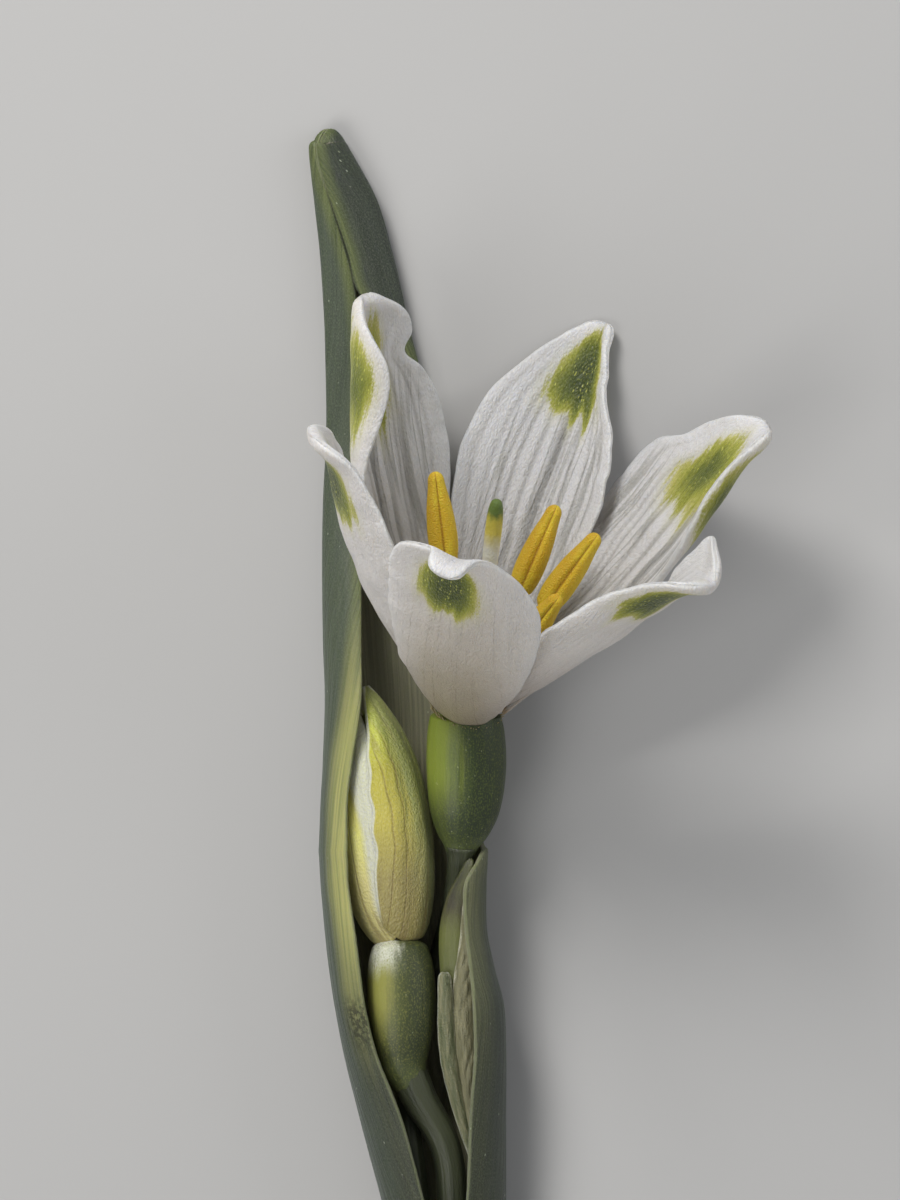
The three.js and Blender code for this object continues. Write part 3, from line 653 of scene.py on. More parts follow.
def ovary_skin(name, lit, green, deep, stalk_end, left_edge, wax=0.0):
    """Smooth half-glossy skin: soft lengthwise stripes, tiny pale specks, painted light in a stripe on
    the left and painted shade on the right.

    stalk_end is where along it the stalk's green ends, left_edge how far round on the left the painted
    light stops and it darkens again, and wax the share of a white patch near its top on the left: a
    wax bloom with a painted highlight on it.
    """
    made = Finish(name, flesh=(0.3, (0.7, 1.0, 0.25), 0.6), Specular_IOR_Level=0.4, Coat_Weight=0.06,
                  Coat_Roughness=0.4)
    along = made.field("where", 0)
    broad = made.grain((0.75, 0.07, 0.75))
    stripes = made.grain((2.6, 0.16, 2.6), 3.0, 0.55)
    fine = made.grain((14.0, 10.0, 14.0))
    # how far round a point lies, from -1 on the left to 1 on the right, with uneven borders
    side = made.plus(made.field("where", 1), made.centred(stripes, 1.1))
    side = made.plus(side, made.centred(broad, 0.9))
    colour = made.mix(made.step(stripes, 0.3, 0.72), deep, green)
    # painted light in a stripe on the left, and painted shade on the right
    lit_stripe = made.times(made.step(side, 0.35, -0.50), made.step(side, *left_edge))
    colour = made.tint(colour, lit, lit_stripe, 0.9)
    colour = made.tint(colour, deep, made.step(side, -0.1, 0.7), 0.75)
    colour = made.tint(colour, deep, made.step(along, 0.62, 0.22), 0.85)
    colour = made.mix(made.step(along, *stalk_end), colour, (0.085, 0.106, 0.042))
    colour = made.tint(colour, lit, made.step(fine, 0.45, 0.75), 0.4)
    # a white patch high on the left: a wax bloom with a painted highlight on it
    high = made.plus(along, made.centred(stripes, 0.2))
    bloom = made.times(made.step(high, 0.70, 0.90), made.step(side, 0.42, -0.38))
    bloom = made.times(bloom, made.step(side, -1.5, -0.6))
    bloom = made.times(bloom, made.step(fine, 0.15, 0.6))
    colour = made.tint(colour, (0.72, 0.74, 0.66), bloom, wax)
    speck = made.until(made.cells((2.2, 1.6, 2.2)), 0.04, 0.09)
    colour = made.tint(colour, (0.50, 0.54, 0.28), speck, 0.4)
    relief = made.bump(made.grain((12.0, 8.0, 12.0)), 0.018)
    relief = made.bump(stripes, 0.05, relief)
    return made.show(Base_Color=colour, Normal=relief, Roughness=made.scaled(fine, 0.22, 0.36))


def lobes(height, turn=0.0):
    """The relief of three faint lobes, which fade towards both ends."""
    return lambda place, angle: (
        height * np.cos(3 * angle + turn) * np.sin(math.pi * place) ** 0.5)


ovary_green = ovary_skin("ovary_green", lit=(0.225, 0.275, 0.040), green=(0.062, 0.094, 0.023),
                         deep=(0.030, 0.042, 0.021), stalk_end=(0.18, 0.03),
                         left_edge=(-1.8, -1.0))
ovary_top = FLOWER_FOOT - OVARY_DROP * FLOWER_AXIS
ovary_path = [(-0.33, -7.0, 3.84), (-0.09, -3.4, 4.05), ovary_top]
three_lobes = lobes(0.05, turn=0.4)
make_piece("flower_ovary_skin", stalk_skin(
    ovary_path, OVARY_HALF, sides=72, steps=80, round_end=0.25,
    relief=lambda place, angle: three_lobes(place, angle) + 0.012 * np.cos(18 * angle)),
    ovary_green, ["flower_ovary"])

FLOWER_STALK_PATH = [
    (-0.30, -6.5, 3.95), (-0.35, -7.2, 3.75), (-0.5, -8.6, 2.95), (-0.92, -10.69, 1.95),
    (-1.7, -13.4, 1.5), (-2.44, -16.1, 1.4), (-2.83, -19.02, 1.6), (-2.6, -21.91, 2.0),
    (-2.1, -25.6, 2.3)]
FLOWER_STALK_HALF = [(0, 0.78, 0.78), (0.03, 0.62, 0.62), (0.08, 0.55, 0.55), (1, 0.55, 0.55)]
stalk_green = green_stalk("stalk_green", (0.064, 0.072, 0.040), (0.032, 0.038, 0.023))
make_piece("flower_stalk_skin", stalk_skin(
    FLOWER_STALK_PATH, FLOWER_STALK_HALF, sides=40, steps=120,
    relief=lambda place, angle: 0.02 * np.cos(9 * angle)),
    stalk_green, ["flower_stalk"])

# ---- Petals -----------------------------------------------------------------------------------
# Six thick waxy white petals in two rings of three, each cupped and pleated by its veins, with a
# green mark near its thickened white tip. They join the ovary's top in a thin ragged brown ring.
PETAL_ROWS, PETAL_HALF_COLUMNS = 176, 48
PETAL_THICKNESS, TIP_THICKENING = 0.36, 0.34
PLEATS, PLEAT_DEPTH, PLEAT_BACK = 11, 0.058, 0.02      # inside, and raised on the outside
OTHER_WING = 9.0                       # farther off than a pleat reaches
PETAL_SWELL, PETAL_CRINKLE = 0.10, 0.05
MARK_POWER = 2.8                       # 2 would make the green mark's outline an ellipse
INNER_RING_RADIUS, OUTER_RING_RADIUS, INNER_RING_HEIGHT = 1.05, 1.62, 0.15
FIVE_PLACES = (0, 0.3, 0.6, 0.85, 1)
AVERAGE_HALF_WIDTH = [
    (0, 1.35), (0.12, 2.0), (0.3, 2.95), (0.55, 3.85), (0.72, 3.75), (0.86, 2.65), (0.94, 1.6),
    (0.985, 0.85), (1, 0.4)]
# azimuth is a petal's place round the flower, and spread its angle from the flower's axis at places
# along it. In degrees at the FIVE_PLACES, sway bends it to one side, twist turns it about its rib
# and cup is how far each wing turns inwards between the rib and the edge. A green mark is its place
# along the petal, its reach each way, its breadth as a share of the half width, and how far it lies
# to the right of the rib on the outside and on the inside. depth_of_green makes its middle paler.
PETALS = [
    dict(name="petal_inner_back", azimuth=6, inner=True, length=19.6, seed=11,
         spread=[(0, 44), (0.2, 48), (0.5, 41), (0.8, 35.5), (1, 32)],
         sway=(0, 0, 3, 5, 2), twist=(0, 0, 4, 6, 8), mark=(0.86, 0.13, 0.62, 0.06, 0.06),
         left=dict(cup=(42, 34, 26, 20, 40), half_width=[
             (0, 1.3), (0.12, 1.95), (0.3, 3.2), (0.55, 4.4), (0.72, 4.2), (0.86, 2.85),
             (0.94, 1.75), (0.975, 1.1), (0.99, 0.75), (1, 0.25)]),
         right=dict(cup=(42, 42, 52, 60, 60), half_width=[
             (0, 1.2), (0.12, 1.7), (0.3, 2.8), (0.55, 3.75), (0.72, 3.1), (0.83, 1.65),
             (0.88, 1.3), (0.94, 0.75), (0.975, 0.6), (0.99, 0.45), (1, 0.15)])),
    dict(name="petal_outer_right", azimuth=63, inner=False, length=19.2, seed=12,
         spread=[(0, 44), (0.2, 43), (0.5, 31), (0.8, 23), (1, 33)],
         sway=(0, 0, 0, 2, 6), mark=(0.80, 0.155, 0.34, 0.62, -0.27), depth_of_green=0.6,
         left=dict(cup=(32, 19, 10, 14, 36), half_width=[
             (0, 1.35), (0.12, 1.9), (0.3, 3.5), (0.5, 5.6), (0.64, 6.0), (0.74, 5.6),
             (0.785, 4.6), (0.81, 4.0), (0.88, 3.1), (0.95, 1.9), (0.985, 1.0), (1, 0.5)]),
         right=dict(cup=(34, 44, 60, 84, 66), half_width=[
             (0, 1.3), (0.12, 1.4), (0.3, 1.8), (0.45, 2.3), (0.6, 2.9), (0.72, 3.0),
             (0.86, 2.5), (0.94, 1.8), (0.985, 1.1), (1, 0.5)])),
    dict(name="petal_inner_right", azimuth=128, inner=True, length=17.5, seed=13,
         spread=[(0, 42), (0.2, 39), (0.5, 35), (0.8, 38), (0.9, 46), (1, 58)],
         sway=(0, -1, -2, -1, 2), mark=(0.845, 0.125, 0.44, 0.40, 0.28),
         left=dict(cup=(42, 36, 32, 70, 96), half_width=[
             (0, 1.35), (0.12, 2.0), (0.3, 2.95), (0.55, 3.85), (0.72, 3.6), (0.84, 3.4),
             (0.9, 3.6), (0.94, 2.9), (0.97, 1.9), (0.99, 1.1), (1, 0.5)]),
         right=dict(cup=(42, 36, 42, 50, 30), half_width=[
             (0, 1.35), (0.12, 2.0), (0.3, 2.95), (0.55, 3.8), (0.7, 3.5), (0.81, 2.9),
             (0.86, 2.6), (0.92, 2.1), (0.96, 1.7), (0.985, 1.2), (1, 0.5)])),
    dict(name="petal_outer_front", azimuth=189, inner=False, length=19.2, seed=14,
         spread=[(0, 50), (0.2, 44), (0.5, 30), (0.78, 22), (0.87, 45), (0.93, 80), (1, 104)],
         sway=(0, 0, 1, 5, 11), mark=(0.77, 0.12, 0.46, 0.12, 0.12),
         left=dict(cup=(34, 38, 42, 38, 24), half_width=[
             (0, 1.45), (0.12, 2.25), (0.3, 3.25), (0.5, 4.0), (0.66, 3.9), (0.77, 3.0),
             (0.85, 1.8), (0.91, 1.15), (0.98, 0.9), (1, 0.45)]),
         right=dict(cup=(34, 38, 38, 16, 20), half_width=[
             (0, 1.45), (0.12, 2.25), (0.3, 3.3), (0.5, 4.0), (0.66, 4.0), (0.78, 3.7),
             (0.86, 2.9), (0.91, 1.5), (0.98, 0.9), (1, 0.45)])),
    dict(name="petal_inner_left", azimuth=248, inner=True, length=17.9, seed=15,
         spread=[(0, 46), (0.2, 42), (0.5, 32), (0.8, 22), (0.9, 30), (1, 62)],
         mark=(0.835, 0.125, 0.50, -0.12, 0.0),
         left=dict(cup=(42, 46, 54, 48, 30), half_width=[
             (0, 1.35), (0.12, 2.0), (0.3, 2.95), (0.55, 3.85), (0.72, 3.75), (0.86, 3.0),
             (0.94, 2.4), (0.985, 1.5), (1, 0.7)]),
         right=dict(cup=(42, 36, 34, 34, 20))),
    dict(name="petal_outer_left", azimuth=305, inner=False, length=20.0, seed=16,
         spread=[(0, 48), (0.2, 43), (0.5, 32), (0.8, 17), (1, 14)],
         mark=(0.80, 0.17, 0.32, -0.55, 0.10), depth_of_green=0.5,
         left=dict(cup=(34, 36, 78, 128, 70), half_width=[
             (0, 1.35), (0.12, 1.8), (0.3, 2.8), (0.55, 3.85), (0.72, 4.2), (0.86, 3.9),
             (0.94, 2.6), (0.985, 1.4), (1, 0.6)]),
         right=dict(cup=(34, 24, 18, 18, 20), half_width=[
             (0, 1.35), (0.12, 1.9), (0.3, 3.2), (0.55, 4.8), (0.7, 4.5), (0.78, 3.6),
             (0.83, 2.6), (0.88, 3.0), (0.94, 2.5), (0.985, 1.1), (1, 0.4)])),
]


def round_axis(azimuth):
    """Outward and sideways at an angle round the flower, which is 0 at its back, 90 on its right."""
    angle = math.radians(azimuth)
    return (FLOWER_BACK * math.cos(angle) + FLOWER_RIGHT * math.sin(angle),
            -FLOWER_BACK * math.sin(angle) + FLOWER_RIGHT * math.cos(angle))


def petal_middle(petal):
    """The petal's middle surface, before its pleats, and its half width across at each point."""
    outward, sideways = round_axis(petal["azimuth"])
    place = np.linspace(0, 1, PETAL_ROWS + 1)

    def five(values):
        return through(list(zip(FIVE_PLACES, values)), place)[:, 0]

    lying = np.radians(through(petal["spread"], place))
    sway = np.radians(five(petal.get("sway", (0,) * 5)))[:, None]
    ahead = (outward * np.cos(sway) * np.sin(lying) + FLOWER_AXIS * np.cos(sway) * np.cos(lying)
             + sideways * np.sin(sway))
    start = (FLOWER_FOOT + outward * (INNER_RING_RADIUS if petal["inner"] else OUTER_RING_RADIUS)
             + FLOWER_AXIS * (INNER_RING_HEIGHT if petal["inner"] else 0))
    steps = unit(ahead[1:] + ahead[:-1]) * petal["length"] / PETAL_ROWS
    rib = start + np.concatenate((np.zeros((1, 3)), np.cumsum(steps, axis=0)))
    level = unit(sideways - ahead * (ahead @ sideways)[:, None])
    twist = np.radians(five(petal.get("twist", (0,) * 5)))[:, None]
    flat = level * np.cos(twist) + np.cross(level, ahead) * np.sin(twist)
    inward = np.cross(flat, ahead)
    wings = []
    out = (np.arange(PETAL_HALF_COLUMNS) + 0.5) / PETAL_HALF_COLUMNS
    ruffle = ripple(petal["seed"], 7.0, 1.8)
    for side, edge in ((-1, petal["left"]), (1, petal["right"])):
        half = through(edge.get("half_width", AVERAGE_HALF_WIDTH), place)
        half = half * (1 + 0.02 * ruffle(20 * place, 5.0 * side))[:, None]
        turn = np.radians(five(edge["cup"])[:, None] * out)
        step = (flat[:, None] * (side * np.cos(turn))[..., None]
                + inward[:, None] * np.sin(turn)[..., None]) * (half / PETAL_HALF_COLUMNS)[..., None]
        wings.append((rib[:, None] + np.cumsum(step, axis=1), half * (out + out[0])))
    middle = np.concatenate((wings[0][0][:, ::-1], rib[:, None], wings[1][0]), axis=1)
    width = np.concatenate((wings[0][1][:, ::-1], np.zeros((len(rib), 1)), wings[1][1]), axis=1)
    return middle, width


def petal_shape(petal):
    middle, width = petal_middle(petal)
    along = np.linspace(0, 1, middle.shape[0])[:, None]
    across = np.linspace(-1, 1, middle.shape[1])[None, :]
    draw = np.random.default_rng(petal["seed"])
    wander = ripple(petal["seed"] + 50, 1.3, 0.5)
    # how wide the wing is in each row, to turn shares across it into millimetres
    half = np.maximum(np.abs(width / np.where(across == 0, 1, across)), 1.0)
    # the pleats: shallow grooves along the veins, each starting and fading at its own place
    grooves = np.zeros_like(width)
    for place in np.linspace(-0.8, 0.8, PLEATS) + draw.uniform(-0.05, 0.05, PLEATS):
        strength = draw.uniform(0.6, 1.0) * (1 - 0.45 * abs(place))
        fade = soft_step(along, -0.02, 0.12) * (1 - soft_step(along, draw.uniform(0.62, 0.8), 0.95))
        beside = np.where(across * place > 0, np.abs(across) - abs(place), OTHER_WING)
        off = (beside + 0.02 * wander(along, place)) * half
        grooves += strength * fade * np.exp(-(off / draw.uniform(0.08, 0.16)) ** 2)
    rib_groove = np.exp(-(width / 0.2) ** 2) * soft_step(along, 0, 0.1)
    rib_groove = rib_groove * (1 - soft_step(along, 0.8, 0.95))
    grooves = np.clip(grooves + rib_groove, 0, 1.2)
    # soft swells of the whole blade, and a crinkled edge
    swell = ripple(petal["seed"] + 90, 8.0, 2.2)
    crinkle = ripple(petal["seed"] + 130, 2.6, 0.8)
    normal = unit(np.cross(np.gradient(middle, axis=0), np.gradient(middle, axis=1)))
    near_edge = soft_step(np.abs(across), 0.6, 1.0)
    lift = PETAL_SWELL * swell(20 * along, width * 1.3) * soft_step(along, 0.05, 0.3)
    lift = lift + PETAL_CRINKLE * crinkle(20 * along, 3.0 * np.sign(across)) * near_edge
    middle = middle + normal * lift[..., None]
    # the blade: firm at its foot and along its rib, thick and blunt at its white tip
    tip = soft_step(along, 0.91, 0.97) * np.exp(-(across / 0.8) ** 2)
    thickness = PETAL_THICKNESS * (1 + 0.25 * np.exp(-(across / 0.3) ** 2) * (1 - along))
    thickness = thickness + TIP_THICKENING * tip
    thickness = thickness * np.sqrt(1 - 0.95 * soft_step(along, 0.975, 1.0) ** 2)
    # the green mark: a rounded block, streaked at its lower end along the veins
    centre, reach, breadth, *sides = petal["mark"]
    streak = ripple(petal["seed"] + 170, 0.45, 0.12)
    offset = along - centre
    lower_reach = reach * (1 + 0.35 * streak(across))
    ends = np.abs(np.where(offset < 0, offset / lower_reach, offset / reach))
    mark = []
    for side in sides:
        flanks = np.abs((across - side) / breadth)
        spot = 1 - (ends**MARK_POWER + flanks**MARK_POWER) ** (1 / MARK_POWER)
        mark.append(np.where(spot > 0, spot * petal.get("depth_of_green", 1.0), spot))
    return blade(middle, thickness, PLEAT_BACK * grooves, -PLEAT_DEPTH * grooves,
                 edge_share=0.25, masks=(grooves, tuple(mark)))


def petal_white(name, warm_shade=0.0):
    """White flesh with grey-green veins, glinting cells, a green mark, painted shade in its grooves
    and at its foot, and a rim of painted light.

    warm_shade is the share of painted warm brown shade along the middle of its outside.
    """
    made = Finish(name, flesh=(0.7, (1.0, 0.9, 0.75), 0.9), Specular_IOR_Level=0.45, Sheen_Weight=0.08,
                  Sheen_Roughness=0.35)
    along = made.field("where", 0)
    from_rib = made.maths("ABSOLUTE", made.field("where", 1))
    inside = made.field("where", 2)
    edge = made.field("masks", 0)
    groove_shade = made.field("masks", 1)
    mark = made.field("masks", 2)
    broad = made.grain((0.5, 0.22, 1.0))
    fine = made.grain((17.0, 7.0, 1.0))
    cells = made.cells((11.0, 5.5, 1.0))
    streaks = made.grain((4.2, 0.30, 1.0))
    white = made.mix(inside, (0.74, 0.705, 0.685), (0.76, 0.745, 0.755))
    white = made.tint(white, (0.64, 0.62, 0.615), made.step(broad, 0.35, 0.7), 0.25)
    # paler cell middles: the cells' own texture, with painted glints
    white = made.tint(white, (0.90, 0.89, 0.90), made.step(cells, 0.5, 0.15), 0.34)
    # veins: thin wandering lines, and painted shade in the pleats' grooves, stronger inside
    lines = made.times(made.lines((1.35, 0.045, 1.0), 0.035), made.step(along, 0.97, 0.6))
    lines = made.times(lines, made.step(edge, 0.2, 0.9))
    depth = made.scaled(inside, 0.56, 0.08)
    white = made.mix(made.times(lines, depth), white, (0.36, 0.36, 0.34))
    white = made.mix(made.times(groove_shade, made.times(depth, 1.1)), white, (0.28, 0.275, 0.265))
    white = made.tint(white, (0.55, 0.56, 0.52), made.step(streaks, 0.35, 0.8), 0.10)
    # painted light: a paler rim along its thin edges
    white = made.tint(white, (0.87, 0.865, 0.85), made.until(edge, 0.02, 0.2), 0.5)
    # the foot: painted shade, warm outside and greyer inside the cup, where it reaches further up
    outer_foot_shade = made.times(made.step(along, 0.55, -0.05), 0.8)
    inner_foot_shade = made.times(made.step(along, 0.66, -0.05), 0.8)
    foot = made.mix(inside, outer_foot_shade, inner_foot_shade)
    white = made.mix(foot, white, made.mix(inside, (0.26, 0.195, 0.135), (0.23, 0.215, 0.195)))
    # painted shade: warm brown along the middle of the front petal's outside
    shade = made.times(made.step(along, 0.92, 0.30), made.times(made.rest(inside), warm_shade))
    shade = made.times(shade, made.step(from_rib, 1.0, 0.2))
    white = made.mix(shade, white, (0.36, 0.295, 0.175))
    # a thin uneven brown line where it joins the ovary
    ragged = made.plus(along, made.centred(streaks, 0.03))
    white = made.mix(made.until(ragged, 0.006, 0.024), white, (0.25, 0.185, 0.11))
    # the green mark, with its yellow border, its streaks along the veins and its yellow specks
    mark = made.plus(made.plus(mark, made.centred(fine, 0.26)), made.centred(streaks, 0.38))
    tone = made.plus(mark, made.centred(broad, 0.5))
    green = made.ramp(tone, [(0.05, (0.56, 0.53, 0.20)), (0.20, (0.37, 0.38, 0.06)),
                             (0.40, (0.16, 0.19, 0.032)), (0.66, (0.065, 0.090, 0.022))])
    green = made.tint(green, (0.46, 0.48, 0.11), made.step(fine, 0.5, 0.75), 0.45)
    specks = made.step(made.cells((8.0, 3.6, 1.0)), 0.36, 0.16)
    veined = made.step(made.grain((6.0, 0.35, 1.0)), 0.42, 0.62)
    green = made.mix(made.times(specks, made.times(veined, 0.8)), green, (0.66, 0.66, 0.16))
    white = made.tint(white, (0.62, 0.60, 0.36), made.step(mark, -0.35, 0.08), 0.30)
    skin = made.mix(made.step(mark, 0.0, 0.14), white, green)
    relief = made.bump(cells, -0.07)
    relief = made.bump(lines, -0.03, relief)
    relief = made.bump(streaks, 0.03, relief)
    return made.show(Base_Color=skin, Normal=relief, Roughness=made.scaled(fine, 0.3, 0.26))


petal_finish = petal_white("petal_white")
front_petal_finish = petal_white("front_petal_white", warm_shade=0.6)
for petal in PETALS:
    finish = front_petal_finish if petal["name"] == "petal_outer_front" else petal_finish
    make_piece(petal["name"] + "_blade", petal_shape(petal), finish, [petal["name"]])


SCALE_EVERY = 4.5                      # degrees round the ring
RING_DROP, RING_RADIUS = 0.56, 1.52
SCALE_HALF_THICKNESS = 0.03


def ragged_ring():
    """Small torn brown scales where the petals' feet join the ovary."""
    draw = np.random.default_rng(5)
    points, faces = [], []
    for turn in np.arange(0, 360, SCALE_EVERY):
        outward, sideways = round_axis(turn + draw.uniform(-2, 2))
        length, width = draw.uniform(0.28, 0.55), draw.uniform(0.06, 0.15)
        root = FLOWER_FOOT - RING_DROP * FLOWER_AXIS + RING_RADIUS * outward
        lean = outward * draw.uniform(0.35, 0.9) + FLOWER_AXIS
        first = len(points)
        for share, narrow in ((0, 1), (0.5, 0.8), (1, 0.15)):
            middle = root + unit(lean) * length * share + outward * 0.08 * share**2
            for side in (-1, 1):
                for skin in (SCALE_HALF_THICKNESS, -SCALE_HALF_THICKNESS):
                    points.append(middle + sideways * side * width / 2 * narrow + outward * skin)
        for low in (first, first + 4):
            faces += [[low, low + 2, low + 6, low + 4], [low + 1, low + 5, low + 7, low + 3],
                      [low, low + 4, low + 5, low + 1], [low + 2, low + 3, low + 7, low + 6]]
        faces += [[first, first + 1, first + 3, first + 2],
                  [first + 8, first + 10, first + 11, first + 9]]
    points = np.array(points)
    return points, faces, {"skin": points, "where": np.zeros_like(points)}


def torn_brown():
    made = Finish("torn_brown", flesh=(0.2, (0.6, 0.4, 0.2), 0.2), Roughness=0.6)
    colour = made.mix(made.grain((5.0, 5.0, 5.0)), (0.22, 0.17, 0.075), (0.44, 0.38, 0.20))
    return made.show(Base_Color=colour)


make_piece("petal_foot_ring", ragged_ring(), torn_brown(), [])

# ---- Stamens and style ------------------------------------------------------------------------
# Six stamens: each a short white thread with a long blunt anther in two swollen halves, bright
# yellow, orange in its seams and painted orange shade on one side, dusted with pollen. The white style
# has a yellow band and a green tip.
STAMEN_LENGTH, ANTHER_LENGTH = 10.8, 4.9
THREAD_START, THREAD_RING = 0.9, 0.72  # over the flower's foot, and out from its axis
THREAD_HALF = [(0, 0.15, 0.15), (0.8, 0.12, 0.12), (1, 0.08, 0.08)]
THREAD_BOW, THREAD_IN_ANTHER = 0.12, 0.25
ANTHER_HALF = [(0, 0.34, 0.3), (0.1, 0.6, 0.5), (0.3, 0.74, 0.62), (0.6, 0.66, 0.56),
               (0.85, 0.45, 0.4), (1, 0.36, 0.32)]
ANTHER_SEAM_DEPTH = 0.17
ANTHER_BOW = 0.6                       # as a share of its thread's
# angle round the flower, angle from its axis, size
STAMENS = [(28, 22, 0.99), (72, 23, 1.02), (126, 24, 0.84), (188, 21, 0.82), (248, 22, 0.80),
           (303, 25.5, 1.08)]


def pollen_yellow():
    """Yellow pollen over orange, which shows in the seams; orange on one side is painted shade."""
    made = Finish("pollen_yellow", flesh=(0.3, (0.9, 0.5, 0.1), 0.4), Specular_IOR_Level=0.3)
    side = made.field("where", 1)
    fold = made.field("where", 2)
    broad = made.grain((1.3, 0.5, 1.3))
    grains = made.cells((13.0, 13.0, 13.0))
    colour = made.mix(made.step(broad, 0.35, 0.7), (0.74, 0.50, 0.034), (0.86, 0.67, 0.055))
    # painted shade: orange on one side
    colour = made.tint(colour, (0.50, 0.26, 0.012), made.step(side, 0.1, -0.8), 0.5)
    seam = made.until(made.maths("ABSOLUTE", side), 0.02, 0.16)
    seam = made.times(seam, made.step(made.maths("ABSOLUTE", fold), 0.5, 0.9))
    colour = made.tint(colour, (0.40, 0.17, 0.01), seam, 0.75)
    colour = made.tint(colour, (0.93, 0.74, 0.16), made.step(grains, 0.45, 0.15), 0.3)
    return made.show(Base_Color=colour, Normal=made.bump(grains, -0.05),
                     Roughness=made.scaled(broad, 0.25, 0.42))


def thread_white():
    made = Finish("thread_white", flesh=(0.5, (0.9, 0.9, 0.7), 0.4), Roughness=0.4)
    fine = made.grain((9.0, 0.8, 9.0))
    return made.show(Base_Color=made.mix(fine, (0.66, 0.67, 0.58), (0.82, 0.82, 0.76)),
                     Normal=made.bump(fine, 0.02))


def two_halves(place, angle):
    """A deep seam down the front and the back of an anther, between its swollen halves."""
    seam = np.exp(-(np.cos(angle) / 0.20) ** 2)
    fade = np.sin(math.pi * np.clip(place, 0.02, 0.985)) ** 0.6
    return -(ANTHER_SEAM_DEPTH * seam + 0.02 * np.cos(2 * angle)) * fade


anther_finish = pollen_yellow()
thread_finish = thread_white()
for count, (azimuth, lying, size) in enumerate(STAMENS, 1):
    outward, sideways = round_axis(azimuth)
    foot = FLOWER_FOOT + FLOWER_AXIS * THREAD_START + outward * THREAD_RING
    reach = STAMEN_LENGTH * size
    tip = FLOWER_FOOT + reach * (FLOWER_AXIS * math.cos(math.radians(lying))
                                 + outward * math.sin(math.radians(lying)))
    ahead = unit(tip - foot)
    anther_foot = tip - ahead * ANTHER_LENGTH
    bow = ripple(200 + count, 2.0, 0.5)(0.3) * THREAD_BOW * sideways
    make_piece(f"filament_{count}_thread", stalk_skin(
        [foot, (foot + anther_foot) / 2 + bow, anther_foot + THREAD_IN_ANTHER * ahead],
        THREAD_HALF, sides=14, steps=16, round_start=0.05, round_end=0.05),
        thread_finish, [f"filament_{count}"])
    make_piece(f"anther_{count}_halves", stalk_skin(
        [anther_foot, (anther_foot + tip) / 2 + ANTHER_BOW * bow, tip], ANTHER_HALF,
        sides=56, steps=72, round_start=0.45, round_end=0.4, relief=two_halves),
        anther_finish, [f"anther_{count}"])

STYLE_START, STYLE_LENGTH = 0.1, 11.4
STYLE_BEND, STYLE_BOW = -1.0, 0.12
STYLE_HALF = [(0, 0.22, 0.22), (0.4, 0.28, 0.28), (0.8, 0.4, 0.4), (0.94, 0.37, 0.37),
              (1, 0.24, 0.24)]


def style_bands():
    """White, then a yellow band, then the green tip."""
    made = Finish("style_bands", flesh=(0.5, (0.9, 0.9, 0.6), 0.4), Roughness=0.4)
    place = made.plus(made.field("where", 0), made.centred(made.grain((5.0, 2.0, 5.0)), 0.05))
    colour = made.ramp(place, [(0.76, (0.76, 0.76, 0.68)), (0.85, (0.66, 0.56, 0.11)),
                               (0.905, (0.58, 0.50, 0.08)), (0.945, (0.12, 0.18, 0.035))])
    return made.show(Base_Color=colour, Normal=made.bump(made.cells((9.0, 9.0, 9.0)), 0.03))


style_foot = FLOWER_FOOT + STYLE_START * FLOWER_AXIS
style_tip = FLOWER_FOOT + STYLE_LENGTH * FLOWER_AXIS + STYLE_BEND * FLOWER_RIGHT
style_middle = (style_foot + style_tip) / 2 + STYLE_BOW * FLOWER_RIGHT
make_piece("style_skin", stalk_skin(
    [style_foot, style_middle, style_tip], STYLE_HALF, sides=32, steps=60,
    round_start=0.1, round_end=0.22), style_bands(), ["style"])

# ---- Closed bud -------------------------------------------------------------------------------
# Three outer petals, yellow-green with white edges and brownish veins, wrap the rolled inner ones
# and overlap at their edges. They sit on a green ovary that narrows into a round stalk.
BUD_AXIS = [(-3.35, -11.16, 3.25), (-3.74, -9.16, 3.15), (-4.23, -5.27, 3.15),
            (-4.52, -3.09, 3.15), (-4.76, -1.14, 3.2), (-4.96, 0.32, 3.3), (-5.1, 1.14, 3.35)]
BUD_RADIUS = [(0, 1.45), (0.16, 2.08), (0.35, 2.36), (0.5, 2.38), (0.68, 2.10), (0.82, 1.58),
              (0.93, 0.94), (1, 0.45)]
BUD_PETAL_THICKNESS = 0.4
BUD_FOOT, BUD_FOOT_TUCK = 0.10, 0.35   # a petal's rounded foot: its share, and how far in it lies
BUD_ROWS, BUD_COLUMNS = 130, 96


